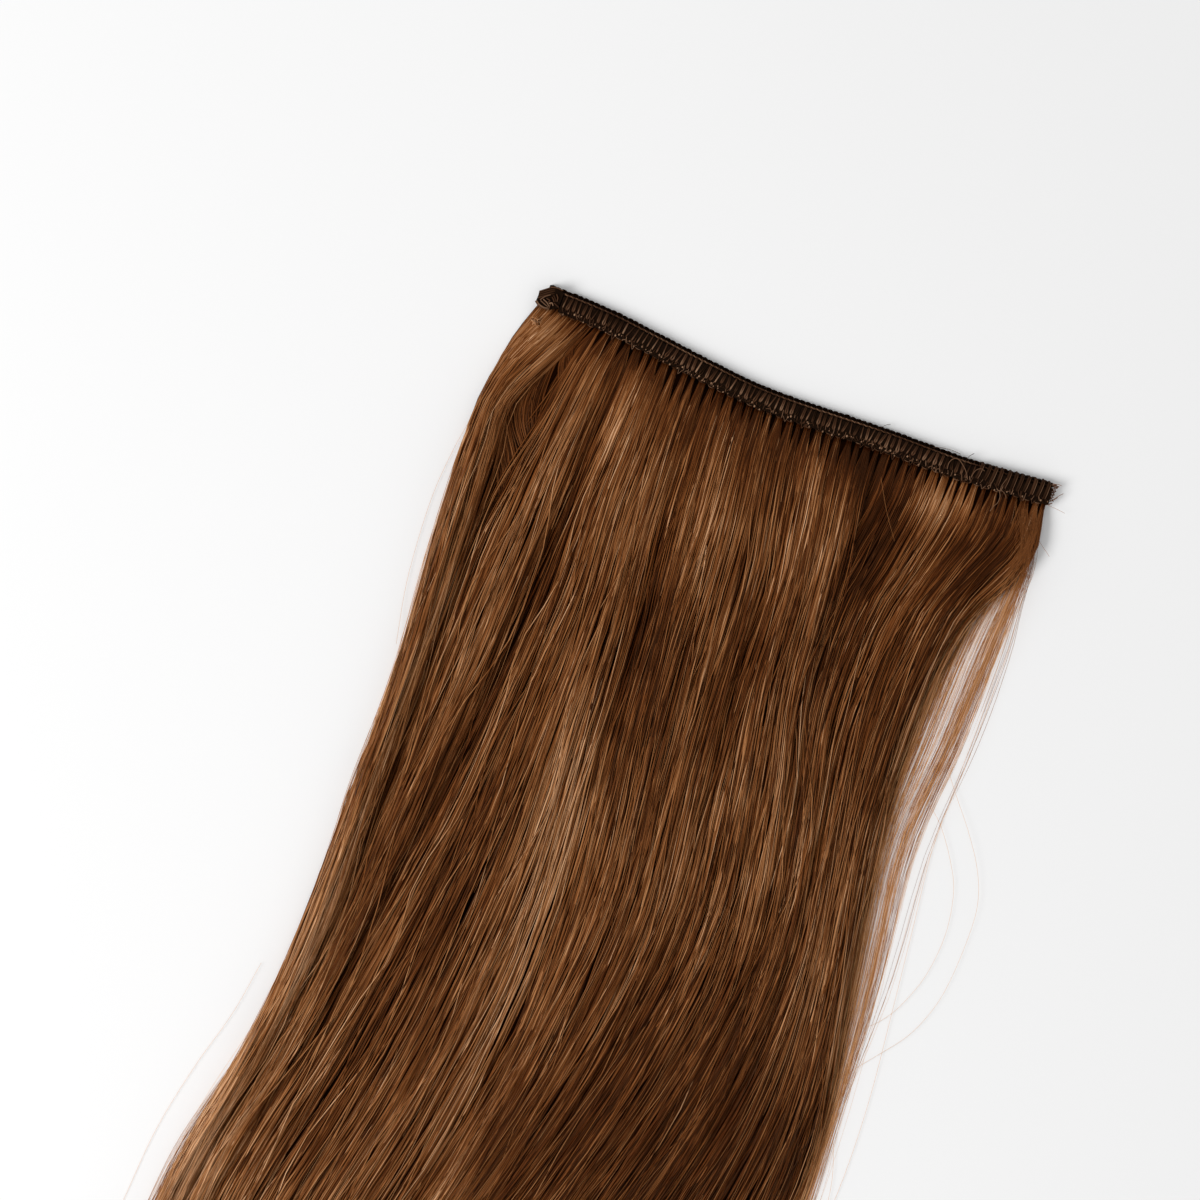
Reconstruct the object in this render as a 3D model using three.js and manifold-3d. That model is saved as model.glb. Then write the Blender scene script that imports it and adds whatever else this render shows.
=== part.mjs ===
// A sewn hair extension lying flat: two stitched weft tracks hold a fall of straight brown hair.
// Millimetres, +Z up. The band runs along X, the hair falls towards -Y and lies on the plane z = 0.
// The origin is the middle of the band, on its flat underside.
import * as THREE from "three";
import { mergeVertices } from "three/addons/utils/BufferGeometryUtils.js";
import Module from "manifold-3d";

// Band: driving dimensions
const bandLength = 150;
const bandHeight = 6.4;
const trackThickness = 1.1;
const rootThickness = 0.6;
const clearance = 0.3;
const backRim = 1.7;
const cordDiameter = 0.6;
const cordSides = 8;
const trackRounding = 0.3;
const bandSteps = 17;
const foldWidth = 4.8;

// Hair: driving dimensions
const hairLength = 400;
const tipTaper = 120;
const tipWidth = 0.14;
const tipHeight = 0.3;
const stripOverlap = 0.22;
const sideDrop = 0.14;
const sideShort = 14;
const oddShort = 7;
const rootStripMargin = 1;

// Levels of the band, from the surface it lies on upwards
const rootBottom = trackThickness + clearance;
const frontBottom = rootBottom + rootThickness + clearance;

// Edges across the band, measured from its middle line, positive away from the hair
const hairEdge = -bandHeight / 2;
const backEdge = bandHeight / 2;
const frontEdge = backEdge - backRim;

// Middle line of the band in plan: it sags a little towards the hair
const BAND_LINE = [
  { x: -bandLength / 2, y: 4.9 },
  { x: -58, y: 4.6 },
  { x: -46, y: 3.5 },
  { x: -29, y: 1.6 },
  { x: -8, y: -0.05 },
  { x: 28, y: 1.3 },
  { x: 50, y: 1.7 },
  { x: bandLength / 2, y: 3.9 },
];

// Turned-back left end of the front track, in plan
const FOLD_OUTLINE = [
  { x: -bandLength / 2 - 2, y: 2.1 },
  { x: -bandLength / 2 + 2.3, y: 1.4 },
  { x: -bandLength / 2 + foldWidth - clearance, y: 2.6 },
  { x: -bandLength / 2 + foldWidth - clearance, y: 7 },
  { x: -bandLength / 2 + 1.5, y: 7.7 },
  { x: -bandLength / 2 - 1.9, y: 5.1 },
];

// Partings between the main locks: the X of each line at these distances below the band
const STATIONS = [0, 45, 75, 105, 145, 185, 220, 260, 330, hairLength];
const PARTINGS = {
  leftEdge: [-74.5, -78.6, -78.4, -76.4, -74.6, -74.6, -78.6, -83.2, -86.5, -84],
  rollSide: [-66, -69, -69.3, -66.5, -65.5, -67.5, -71.5, -77, -80.5, -78],
  midCrease: [-47, -45, -47, -49.5, -52, -58, -63, -70, -74, -72],
  leftCentre: [-24, -22, -18.5, -15.5, -10.5, -10.5, -14.5, -22, -33, -33],
  rightCentre: [3, 10, 11.5, 15, 20, 16, 8, -2, -13, -13],
  rightCrease: [26, 30.4, 35.5, 43, 49, 45.5, 37.5, 27, 15, 14],
  rightLock: [52, 46, 45, 49.5, 55.5, 54, 47, 38, 27, 26],
  denseEdge: [73.5, 70, 65, 66, 73.5, 78.5, 79, 75, 63, 58],
  wispInner: [74, 76, 74.5, 75.5, 78, 80, 80, 76, 65, 60],
  wispEdge: [77.5, 80.2, 78.4, 79.2, 82, 83, 82.4, 79, 68, 63],
};

// Main locks between two partings: how many strips, how high they lie, how long they are
const LOCKS = [
  { from: "leftEdge", to: "rollSide", strips: 1, height: 8, length: 372 },
  { from: "rollSide", to: "midCrease", strips: 3, height: 5.4, length: 386 },
  { from: "midCrease", to: "leftCentre", strips: 3, height: 6.6, length: 398 },
  { from: "leftCentre", to: "rightCentre", strips: 3, height: 7.4, length: 400 },
  { from: "rightCentre", to: "rightCrease", strips: 3, height: 7, length: 396 },
  { from: "rightCrease", to: "rightLock", strips: 2, height: 5.2, length: 384 },
  { from: "rightLock", to: "denseEdge", strips: 3, height: 6.4, length: 388 },
  { from: "wispInner", to: "wispEdge", strips: 1, height: 2.6, length: 350 },
];

// How a strip swells below the band: its underside, its share of the lock's height and of its width
const SWELL = [
  { drop: 2.4, bottom: rootBottom + 0.05, rise: 0.07, spread: 0.7 },
  { drop: 3.7, bottom: rootBottom, rise: 0.08, spread: 0.72 },
  { drop: 6, bottom: 0.7, rise: 0.36, spread: 0.8 },
  { drop: 10, bottom: 0, rise: 0.56, spread: 0.94 },
  { drop: 20, bottom: 0, rise: 0.76, spread: 1 },
  { drop: 45, bottom: 0, rise: 0.94, spread: 1 },
  { drop: 90, bottom: 0, rise: 1, spread: 1 },
  { drop: 185, bottom: 0, rise: 0.94, spread: 1 },
  { drop: hairLength, bottom: 0, rise: 0.8, spread: 1 },
];
const rootRings = 5;
const ringSpacing = 20;

// Section of a strip: across as a share of its half width, up as a share of its height
const STRIP_SECTION = [
  { across: -1, up: 0 },
  { across: 1, up: 0 },
  { across: 0.94, up: 0.42 },
  { across: 0.6, up: 0.84 },
  { across: 0, up: 1 },
  { across: -0.6, up: 0.84 },
  { across: -0.94, up: 0.42 },
];

const wasm = await Module();
wasm.setup();

// Smooth curve through values given at stations
function smooth(stations, values, at) {
  const last = stations.length - 1;
  const place = THREE.MathUtils.clamp(at, stations[0], stations[last]);
  let i = 0;
  while (i < last - 1 && place > stations[i + 1]) i += 1;
  const slope = (k) => {
    const before = Math.max(k - 1, 0);
    const after = Math.min(k + 1, last);
    return (values[after] - values[before]) / (stations[after] - stations[before]);
  };
  const span = stations[i + 1] - stations[i];
  const t = (place - stations[i]) / span;
  const bend = span * t * (1 - t);
  const line = THREE.MathUtils.lerp(values[i], values[i + 1], t * t * (3 - 2 * t));
  return line + bend * ((1 - t) * slope(i) - t * slope(i + 1));
}

function bandMiddle(x) {
  const stations = BAND_LINE.map((point) => point.x);
  const values = BAND_LINE.map((point) => point.y);
  return smooth(stations, values, x);
}

// Curve along the band between two X places, at one level
function bandCurve(fromX, toX, level) {
  const points = [];
  for (let i = 0; i <= bandSteps; i += 1) {
    const x = THREE.MathUtils.lerp(fromX, toX, i / bandSteps);
    points.push(new THREE.Vector3(x, bandMiddle(x), level));
  }
  return new THREE.CatmullRomCurve3(points);
}

// Rounded strip section: its first axis points down and its second away from the hair
function stripSection(fromEdge, toEdge, thickness) {
  const r = Math.min(trackRounding, thickness / 3);
  const shape = new THREE.Shape();
  shape.moveTo(-thickness / 2, fromEdge + r);
  shape.lineTo(-thickness / 2, toEdge - r);
  shape.lineTo(-thickness / 2 + r, toEdge);
  shape.lineTo(thickness / 2 - r, toEdge);
  shape.lineTo(thickness / 2, toEdge - r);
  shape.lineTo(thickness / 2, fromEdge + r);
  shape.lineTo(thickness / 2 - r, fromEdge);
  shape.lineTo(-thickness / 2 + r, fromEdge);
  shape.closePath();
  return shape;
}

function bandStrip(fromX, toX, fromEdge, toEdge, bottom, thickness) {
  const path = bandCurve(fromX, toX, bottom + thickness / 2);
  const section = stripSection(fromEdge, toEdge, thickness);
  return new THREE.ExtrudeGeometry(section, { steps: bandSteps, extrudePath: path });
}

function edgeCord() {
  const middle = frontEdge + clearance + cordDiameter / 2;
  const section = new THREE.Shape();
  for (let i = 0; i < cordSides; i += 1) {
    const turn = (i / cordSides) * 2 * Math.PI;
    const down = (Math.cos(turn) * cordDiameter) / 2;
    const out = middle + (Math.sin(turn) * cordDiameter) / 2;
    if (i === 0) section.moveTo(down, out);
    else section.lineTo(down, out);
  }
  section.closePath();
  const fromX = -bandLength / 2 + foldWidth;
  const path = bandCurve(fromX, bandLength / 2, frontBottom + trackThickness / 2);
  return new THREE.ExtrudeGeometry(section, { steps: bandSteps, extrudePath: path });
}

function foldedEnd() {
  const outline = FOLD_OUTLINE.map((point) => new THREE.Vector2(point.x, point.y));
  const flap = new THREE.ExtrudeGeometry(new THREE.Shape(outline), {
    depth: trackThickness,
    bevelEnabled: false,
  });
  return flap.translate(0, 0, frontBottom);
}

// Closed body through rings that have the same number of points
function loft(rings) {
  const count = rings[0].length;
  const positions = rings.flat().flatMap((point) => [point.x, point.y, point.z]);
  const faces = [];
  for (let r = 0; r + 1 < rings.length; r += 1) {
    for (let i = 0; i < count; i += 1) {
      const a = r * count + i;
      const b = r * count + ((i + 1) % count);
      faces.push(a, b, a + count, b, b + count, a + count);
    }
  }
  const end = (rings.length - 1) * count;
  for (let i = 1; i + 1 < count; i += 1) {
    faces.push(0, i + 1, i);
    faces.push(end, end + i, end + i + 1);
  }
  const geometry = new THREE.BufferGeometry();
  geometry.setAttribute("position", new THREE.Float32BufferAttribute(positions, 3));
  geometry.setIndex(faces);
  return geometry;
}

// Distances below the band where a strip has a ring: close together at the roots, then even
function ringDrops(length) {
  const drops = SWELL.slice(0, rootRings).map((row) => row.drop);
  const start = drops[rootRings - 1];
  const count = Math.round((length - start) / ringSpacing);
  for (let i = 1; i <= count; i += 1) {
    drops.push(THREE.MathUtils.lerp(start, length, i / count));
  }
  return drops;
}

// Underside, rise and spread of a strip at one ring, with the tip drawn in
function stripProfile(drop, length) {
  const stations = SWELL.map((row) => row.drop);
  const after = Math.max(stations.findIndex((station) => station >= drop), 1);
  const low = SWELL[after - 1];
  const high = SWELL[after];
  const t = (drop - low.drop) / (high.drop - low.drop);
  const taper = THREE.MathUtils.clamp((length - drop) / tipTaper, 0, 1);
  const thin = THREE.MathUtils.lerp(tipHeight, 1, taper);
  const narrow = THREE.MathUtils.lerp(tipWidth, 1, Math.sqrt(taper));
  return {
    bottom: THREE.MathUtils.lerp(low.bottom, high.bottom, t),
    rise: THREE.MathUtils.lerp(low.rise, high.rise, t) * thin,
    spread: THREE.MathUtils.lerp(low.spread, high.spread, t) * narrow,
  };
}

function hairStrip(lock, index) {
  const share = (index + 0.5) / lock.strips;
  const from = PARTINGS[lock.from];
  const to = PARTINGS[lock.to];
  const rootX = THREE.MathUtils.lerp(from[0], to[0], share);
  const middle = (lock.strips - 1) / 2;
  const offCentre = lock.strips > 1 ? Math.abs(index - middle) / middle : 0;
  const height = lock.height * (1 - sideDrop * offCentre);
  const length = lock.length - sideShort * offCentre - oddShort * (index % 2);
  const rings = ringDrops(length).map((drop) => {
    const profile = stripProfile(drop, length);
    const left = smooth(STATIONS, from, drop);
    const right = smooth(STATIONS, to, drop);
    const half = ((right - left) / lock.strips) * (0.5 + stripOverlap) * profile.spread;
    const x = THREE.MathUtils.lerp(left, right, share);
    const y = bandMiddle(rootX) - drop;
    return STRIP_SECTION.map((point) => {
      const across = x + point.across * half;
      const level = profile.bottom + point.up * profile.rise * height;
      return new THREE.Vector3(across, y, level);
    });
  });
  return loft(rings);
}

function toSolid(geometry) {
  const bare = geometry.clone();
  bare.deleteAttribute("normal");
  bare.deleteAttribute("uv");
  const merged = mergeVertices(bare);
  return new wasm.Manifold(new wasm.Mesh({
    numProp: 3,
    vertProperties: new Float32Array(merged.attributes.position.array),
    triVerts: new Uint32Array(merged.index.array),
  }));
}

function toGeometry(solid) {
  const mesh = solid.getMesh();
  const geometry = new THREE.BufferGeometry();
  geometry.setAttribute("position", new THREE.BufferAttribute(mesh.vertProperties, 3));
  geometry.setIndex(new THREE.BufferAttribute(mesh.triVerts, 1));
  geometry.computeVertexNormals();
  return geometry;
}

// The hair: every strip fused to the thin strip of roots between the tracks
function hairFall() {
  const reach = bandLength / 2 - rootStripMargin;
  const lowEdge = hairEdge - rootStripMargin;
  const highEdge = frontEdge - rootStripMargin;
  let solid = toSolid(bandStrip(-reach, reach, lowEdge, highEdge, rootBottom, rootThickness));
  for (const lock of LOCKS) {
    for (let i = 0; i < lock.strips; i += 1) {
      solid = solid.add(toSolid(hairStrip(lock, i)));
    }
  }
  return toGeometry(solid);
}

function piece(name, geometry, color, roughness) {
  const material = new THREE.MeshStandardMaterial({ color, roughness, metalness: 0 });
  const mesh = new THREE.Mesh(geometry, material);
  mesh.name = name;
  return mesh;
}

const bandEnd = bandLength / 2;
const frontStart = -bandEnd + foldWidth;
const backTrack = bandStrip(-bandEnd, bandEnd, hairEdge, backEdge, 0, trackThickness);
const frontTrack = bandStrip(frontStart, bandEnd, hairEdge, frontEdge, frontBottom, trackThickness);

const hairExtension = new THREE.Group();
hairExtension.add(
  piece("back_track", backTrack, "#2b1d14", 0.8),
  piece("front_track", frontTrack, "#3a281d", 0.75),
  piece("edge_cord", edgeCord(), "#5e4330", 0.7),
  piece("folded_end", foldedEnd(), "#3a281d", 0.75),
  piece("hair_fall", hairFall(), "#6e452a", 0.45),
);

export default hairExtension;
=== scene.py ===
"""A sewn hair extension on a pale floor: combed strands, a stitched band, soft light, a camera above."""
from collections import namedtuple
from types import SimpleNamespace
import math
import bpy
import numpy as np
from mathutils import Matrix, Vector


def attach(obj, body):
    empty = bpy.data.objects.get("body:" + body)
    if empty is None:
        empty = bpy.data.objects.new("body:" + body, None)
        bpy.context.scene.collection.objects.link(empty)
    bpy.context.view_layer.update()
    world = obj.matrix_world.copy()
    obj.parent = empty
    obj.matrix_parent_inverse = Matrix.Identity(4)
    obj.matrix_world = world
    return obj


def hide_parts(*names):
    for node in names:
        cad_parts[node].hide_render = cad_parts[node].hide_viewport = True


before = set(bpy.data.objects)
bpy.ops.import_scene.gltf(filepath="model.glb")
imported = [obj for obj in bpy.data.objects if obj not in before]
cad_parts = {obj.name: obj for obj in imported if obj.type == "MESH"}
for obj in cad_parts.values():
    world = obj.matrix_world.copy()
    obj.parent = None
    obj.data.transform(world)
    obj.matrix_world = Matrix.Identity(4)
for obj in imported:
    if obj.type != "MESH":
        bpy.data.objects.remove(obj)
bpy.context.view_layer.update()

# Sizes are in millimetres. Most pairs are ranges, or the middle and spread of what rng.normal draws
MM = 0.001
FULL_TURN = 2 * math.pi

# Runs of random numbers: one for the tufts and the inner body, one for each lock and for what follows
SEED = 41
FINE_SEED = SEED + 20
VALLEY_SEED = SEED + 21
LOOSE_SEED = SEED + 22
BAND_SEED = SEED + 30
rng = np.random.default_rng(SEED)

# The camera looks straight down, turned by this much about the vertical
VIEW_TURN = math.radians(21.136)

# Band, as the solids have it
BAND_LENGTH = 150.0
BAND_HEIGHT = 6.4
BACK_RIM = 1.7
FRONT_BOTTOM = 2.3
FRONT_TOP = 3.4
FOLD_WIDTH = 4.8
CORD_DIAMETER = 0.6
CLEARANCE = 0.3
BACK_EDGE = BAND_HEIGHT / 2
HAIR_EDGE = -BACK_EDGE
FRONT_EDGE = BACK_EDGE - BACK_RIM
CORD_LINE = FRONT_EDGE + CLEARANCE + CORD_DIAMETER / 2
CORD_LEVEL = (FRONT_BOTTOM + FRONT_TOP) / 2
BAND_END = BAND_LENGTH / 2
FRONT_START = -BAND_END + FOLD_WIDTH
BAND_X = [-BAND_END, -58.0, -46.0, -29.0, -8.0, 28.0, 50.0, BAND_END]
BAND_Y = [4.9, 4.6, 3.5, 1.6, -0.05, 1.3, 1.7, 3.9]

# Partings between the main locks: X at these distances below the band
HAIR_LENGTH = 400.0
STATIONS = [0, 15, 33, 45, 75, 105, 145, 185, 220, 260, 330, HAIR_LENGTH]
PARTINGS = {
    "left_edge": [-75, -79.6, -81.6, -82.0, -80.0, -77.2, -76.0, -75.0, -77.4, -84.0, -87, -84.5],
    "roll_side": [-59, -65, -72.6, -71.0, -69.2, -68.6, -67.6, -67.2, -70.2, -77, -80.5, -78],
    "valley_side": [-59, -63.6, -65.6, -67.2, -69.2, -68.6, -67.6, -67.2, -70.2, -77, -80.5, -78],
    "mid_crease": [-47, -47.4, -48, -48.2, -47.6, -49.5, -53, -58, -63, -70, -74, -72],
    "left_centre": [-24, -23.8, -22.8, -22, -18.5, -15.5, -10.5, -10.5, -14.5, -22, -33, -33],
    "right_centre": [3, 4.6, 8, 10, 11.5, 15, 20, 16, 8, -2, -13, -13],
    "right_crease": [26, 27.2, 29.4, 30.4, 34.4, 42, 48.6, 45.5, 37.5, 27, 15, 14],
    "under_crease": [26, 26, 24.5, 23, 27, 35, 42, 39, 31, 21, 9, 8],
    "right_lock": [52, 51.6, 48.2, 45.6, 44.6, 49.2, 55.5, 54, 47, 38, 27, 26],
    "dense_edge": [74.4, 74.5, 66.0, 62.9, 62.2, 64.0, 71.6, 78.9, 80.0, 76, 64, 59],
    "wisp_strip": [74.8, 75.5, 75.0, 74.6, 73.9, 72.2, 77.6, 81.4, 82.6, 79, 67, 62],
    "wisp_edge": [75.4, 76.8, 78.6, 80, 80.4, 79.2, 82.6, 82.8, 84.4, 80.5, 69, 64],
}

# Main locks: the partings at either side, height at the middle and the share of it at either side, length.
# The roll's higher tone is partly its own colour and partly painted highlight.
Lock = namedtuple("Lock", "piece start end height start_foot end_foot length strands subs tone uneven")
LOCKS = [
    Lock("hair_left_roll", "left_edge", "roll_side", 8.0, 0.12, 0.42, 372, 340, 3, 0.14, 0.11),
    Lock("hair_left", "valley_side", "mid_crease", 5.8, 0.36, 0.55, 386, 340, 5, 0.02, 0.13),
    Lock("hair_centre_left", "mid_crease", "left_centre", 6.6, 0.60, 0.62, 398, 570, 8, 0.03, 0.15),
    Lock("hair_centre", "left_centre", "right_centre", 7.2, 0.62, 0.60, 400, 530, 8, 0.02, 0.16),
    Lock("hair_centre_right", "right_centre", "right_crease", 7.2, 0.60, 0.66, 396, 440, 6, 0.02, 0.17),
    Lock("hair_right_under", "under_crease", "right_lock", 5.0, 0.35, 0.55, 384, 320, 5, 0.0, 0.18),
    Lock("hair_right", "right_lock", "dense_edge", 6.0, 0.55, 0.10, 388, 390, 6, 0.0, 0.19),
]
# Strands in the valley beside the roll; their lower tone is painted shade
VALLEY = Lock("hair_valley", "roll_side", "valley_side", 3.4, 0.8, 0.8, 240, 360, 1, -0.08, 0.12)
DOME_POWER = 2.4

# How the hair swells below the band: share of a lock's height at a distance
SWELL_DROP = [0, 6, 10, 20, 45, 90, 185, HAIR_LENGTH]
SWELL_RISE = [0.2, 0.40, 0.56, 0.76, 0.94, 1.0, 0.94, 0.8]

# Tufts at the roots
TUFT_PITCH = 2.87
TUFT_FIRST = -26
TUFT_COUNT = 53
TUFT_JITTER = 0.45
TUFT_GATHER = 0.46
TUFT_RISE = 0.35
TUFTS_FROM_X = (-67, -58)
tuft_gaps = (TUFT_FIRST - 0.5 + np.arange(TUFT_COUNT + 1)) * TUFT_PITCH
tuft_gaps += rng.uniform(-TUFT_JITTER, TUFT_JITTER, TUFT_COUNT + 1)
tuft_middles = (tuft_gaps[1:] + tuft_gaps[:-1]) / 2
tuft_gathers = TUFT_GATHER * rng.uniform(0.55, 1.3, TUFT_COUNT)
tuft_lengths = rng.uniform(7.5, 13.5, TUFT_COUNT)

# Strands and how they end
STRAND_RADIUS = 0.205
STRAND_SIZES = (0.75, 1.25)
STRAND_SIDES = 3
FLOOR_GAP = 0.02
RINGS = 38
RING_POWER = 1.35
ROOT_START = 2.0
ROOT_LEVEL = 1.7
SLOT_LEVELS = (1.45, 1.95)
SHORTER_MEAN = 16
SHORTER_MOST = 150
TIP_TAPER = 120.0
TIP_GATHER = (0.08, 0.36)
TIP_SINK = 0.6
TIP_THIN = 0.7
TIP_THIN_FROM = 0.82
GOLDEN_SHARE = 0.618

# Sub-locks, clumps of strands, and strands that cross the others
SUB_JITTER = 0.2
SUB_HOLD = 0.02
SUB_RISE = 0.45
SUB_LOWER = 0.3
SUB_UNEVEN = 0.25
CLUMP_STRANDS = 8
CLUMP_JITTER = 0.3
CLUMP_HOLD = 0.35
CLUMP_DEPTH = 0.15
LAYER_DEPTH = 1.5
DEPTH_MOST = 1.15
CROSSING_SHARE = 0.08
CROSSING_SIZE = 0.7
ROAM_MARGIN = 5.0

# Distances below the band over which a change sets in
LEAVES_BAND = (3.2, 12)
LOOSENS = (12, 70)
CLUMPS_FORM = (10, 40)
WAVES_SET_IN = (8, 40)
LAYERS_FORM = (6, 30)
ROLL_FORMS = (6, 34)
OUTER_THINS = (14, 34)
LIFT_ENDS = (30, 80)

# Waves: usual height where there is one, shortest and longest
SUB_WAVE = (0.3, 110, 190)
CLUMP_WAVE = (0.35, 60, 140)
SINGLE_WAVE = (0.30, 34, 84)
CROSSING_WAVE = (1.3, 60, 160)
SINGLE_WEAVE = (36, 90)
CLUMP_WEAVE = (70, 160)

# Short gaps between strands: how wide a gap's wall is, and how far the push beside it reaches
GAP_WALL = 0.3
GAP_SPREAD = 2.5

# What single locks have: a crowded roll, hair that spills left, and an outer side that lies over its edge
ROLL_CROWD = 1.0
SPILL = 1.6
SPILL_PLACE = 0.3
FEATHER = 6.0
FEATHER_FROM = 0.74
FEATHER_POWER = 2.6
EDGE_LIFT = 3.0
EDGE_LIFT_FROM = 0.5
OUTER_FROM = 0.8
OUTER_THIN = 0.35

# Strands between the roll and the next lock: some fan out from the band, the rest peel off the roll. They
# carry painted shade: darker in the valley, and darker still the further they run under the next lock.
FAN_SHARE = 0.35
PEEL_HELD = 30
VALLEY_RINGS = 25
VALLEY_BEND = 4
VALLEY_WAVE = (0.25, 25, 60)
VALLEY_X = -66.0
VALLEY_PAINTED_SHADE_UNDER = 0.006
VALLEY_PAINTED_LIGHT_SHARE = 0.5

# Tone from 0, dark, to 1, pale
BASE_TONE = 0.372
MAP_RANGE = (0.01, 0.99)
TUBE_ALONG = (0.005, 0.995)
TUBE_TONES = (0.002, 0.998)
# Painted shading round each tube: paler on the upper side, darker on the lower sides
ROUND_PAINTED_SHADE = 0.13
PATCHY = 0.10
SUB_TONE = 0.03
CLUMP_TONE = 0.04
# Painted highlight: strands that cross the others are paler
CROSSING_PAINTED_HIGHLIGHT = 0.14
# Painted shade on strands that run deep in a lock
DEPTH_PAINTED_SHADE = 0.30
# Painted light shining through the thin strands at the right lock's outer side
OUTER_PAINTED_LIGHT = 0.22
# Painted shadow of the band over the roots
ROOT_PAINTED_SHADOW = 0.15
TIP_PALE = 0.05

# Painted shade in the creases: line, how wide, how dark and how far down they reach
CREASE_PAINTED_SHADE = [
    ("roll_side", 3.0, 0.06, 130),
    ("valley_side", 3.0, 0.08, 20),
    ("mid_crease", 2.4, 0.16, 110),
    ("right_crease", 3.4, 0.20, 90),
    ("left_centre", 3.0, 0.08, 80),
    ("right_centre", 3.0, 0.10, 80),
]
CREASE_FADE = 70

# Broad painted highlights and painted shade: X and distance below the band, half sizes in millimetres, and
# tone
PAINTED_LIGHT_PATCHES = [
    (-70, 9, 9, 9, 0.32),
    (22, 8, 8, 6, -0.40),
    (49, 9, 11, 7.2, 0.50),
    (-60, 30, 6, 12, -0.06),
    (-70, 22, 4, 7, 0.03),
    (-46, 22, 7, 10, 0.16),
    (-7, 20, 4, 7, -0.12),
    (-30, 20, 5, 7, -0.10),
    (34.6, 30, 4.8, 23, -0.46),
    (71, 7.5, 3.5, 4.5, 0.30),
    (64, 25, 9, 14, -0.34),
    (-55, 46, 5, 14, 0.15),
    (-6, 44, 5, 15, 0.17),
    (11, 46, 6, 16, 0.19),
    (25, 35, 4, 11, 0.22),
    (18, 62, 7, 22, -0.24),
    (-32, 70, 6, 16, -0.06),
    (-46, 68, 4, 22, -0.12),
    (56, 68, 8, 34, -0.15),
    (-14, 66, 6, 18, -0.21),
    (-30, 50, 4, 10, 0.13),
    (2, 50, 4, 8, -0.12),
    (50, 60, 5, 12, -0.09),
    (-6, 108, 6, 20, -0.14),
    (-30, 88, 4, 18, 0.12),
    (-38, 118, 5, 32, -0.11),
    (26, 106, 4, 8, 0.10),
    (-54, 140, 5, 18, -0.08),
    (51, 178, 7, 24, -0.16),
    (17, 220, 5, 14, -0.17),
    (38, 212, 5, 20, -0.17),
    (-38, 220, 5, 10, 0.08),
    (-62, 240, 5, 12, 0.09),
    (-6, 210, 5, 18, -0.15),
    (-52, 238, 8, 14, -0.15),
    (-70, 232, 4, 10, -0.09),
    (-70, 264, 6, 14, 0.13),
    (-63, 84, 6, 22, 0.06),
    (10, 80, 4, 10, -0.08),
    (-70, 88, 4, 32, 0.14),
    (26, 84, 4, 10, -0.08),
    (46, 90, 6, 12, -0.11),
    (-8, 86, 7, 22, -0.27),
    (41, 113, 6, 14, 0.14),
    (58, 92, 5, 20, -0.11),
    (18, 124, 5, 16, 0.13),
    (-23, 118, 7, 20, 0.21),
    (27, 120, 5, 20, -0.27),
    (2, 162, 5, 24, -0.15),
    (-14, 128, 5, 18, 0.22),
    (40, 158, 8, 16, -0.19),
    (-62, 174, 5, 40, -0.23),
    (-15, 166, 7, 34, 0.25),
    (-35, 168, 5, 18, -0.07),
    (62, 190, 8, 18, -0.15),
    (-43, 162, 9, 40, -0.17),
    (-46, 204, 5, 16, -0.12),
    (-71, 184, 5, 30, 0.30),
    (-30, 212, 5, 18, -0.14),
    (-14, 220, 4, 18, 0.15),
    (24, 191, 9, 30, -0.25),
    (76, 192, 6, 20, -0.22),
    (46, 214, 34, 44, -0.28),
    (2, 215, 12, 30, -0.16),
    (-80, 248, 7, 30, 0.42),
]

# Inner body of the hair: a slab with a tongue for each sub-lock at its end. Its dark colour is painted
# shade, so that gaps between strands read dark
CORE_COLUMNS = 25
CORE_ROWS = 36
CORE_ROW_POWER = 1.3
CORE_START = 3.0
CORE_END = 104.0
CORE_TONGUE = 64.0
CORE_OVERLAP = 0.02
CORE_FEATHER = 0.5
CORE_SHARE = 0.6
CORE_BELOW = 0.6
CORE_FADE = 0.8
CORE_FADE_FROM = 170
CORE_FADE_TO = 70
CORE_THINNEST = 0.25
CORE_BOTTOM = 0.08

# Fine hair
FINE_RADIUS = 0.062
FINE_TIP = [0.8, 0.6, 0.4]

# See-through hair along the right edge; NEAR_LOCK to BY_EDGE are bounds between the kinds of hair
WISP_COUNT = 390
WISP_RINGS = 30
WISP_RING_POWER = 1.6
WISP_CLUMPS = 34
WISP_CLUMP_SPREAD = 0.022
WISP_SHORT_SHARE = 0.4
WISP_NEAR_LOCK = 0.40
WISP_BY_LOCK = 0.60
WISP_IN_STRIP = 0.82
WISP_BY_EDGE = 0.975
WISP_INSET = 0.8
WISP_NEAR = 0.6
WISP_NEAR_POWER = 1.6
WISP_FAR = 0.8
WISP_FAR_POWER = 1.4
STRIP_SPREAD = 1.3
STRIP_MOST = 4
WISP_WAVE = (0.5, 70, 190)
WISP_OVER_SHARE = 0.24
WISP_CREST = 5.0
WISP_WEAVE = (60, 150)
WISP_ROOT_TONE = 0.3
WISP_PALE = 0.8
WISP_PALE_RUN = 24
WISP_PALE_FROM = (11, 17)

# Hairs that leave an edge a little: line, side, range of distances where they begin, and reach
EDGE_ROWS = [
    ("left_edge", -1, (200, 300), 3.4),
    ("left_edge", -1, (10, 200), 1.6),
    ("dense_edge", 1, (150, 300), 3.0),
]
EDGE_COUNT = 70
EDGE_RINGS = 25
EDGE_LAST = 385.0
EDGE_TAIL = 10
EDGE_INSET = 0.8
EDGE_WAVE = (0.2, 50, 120)

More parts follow.
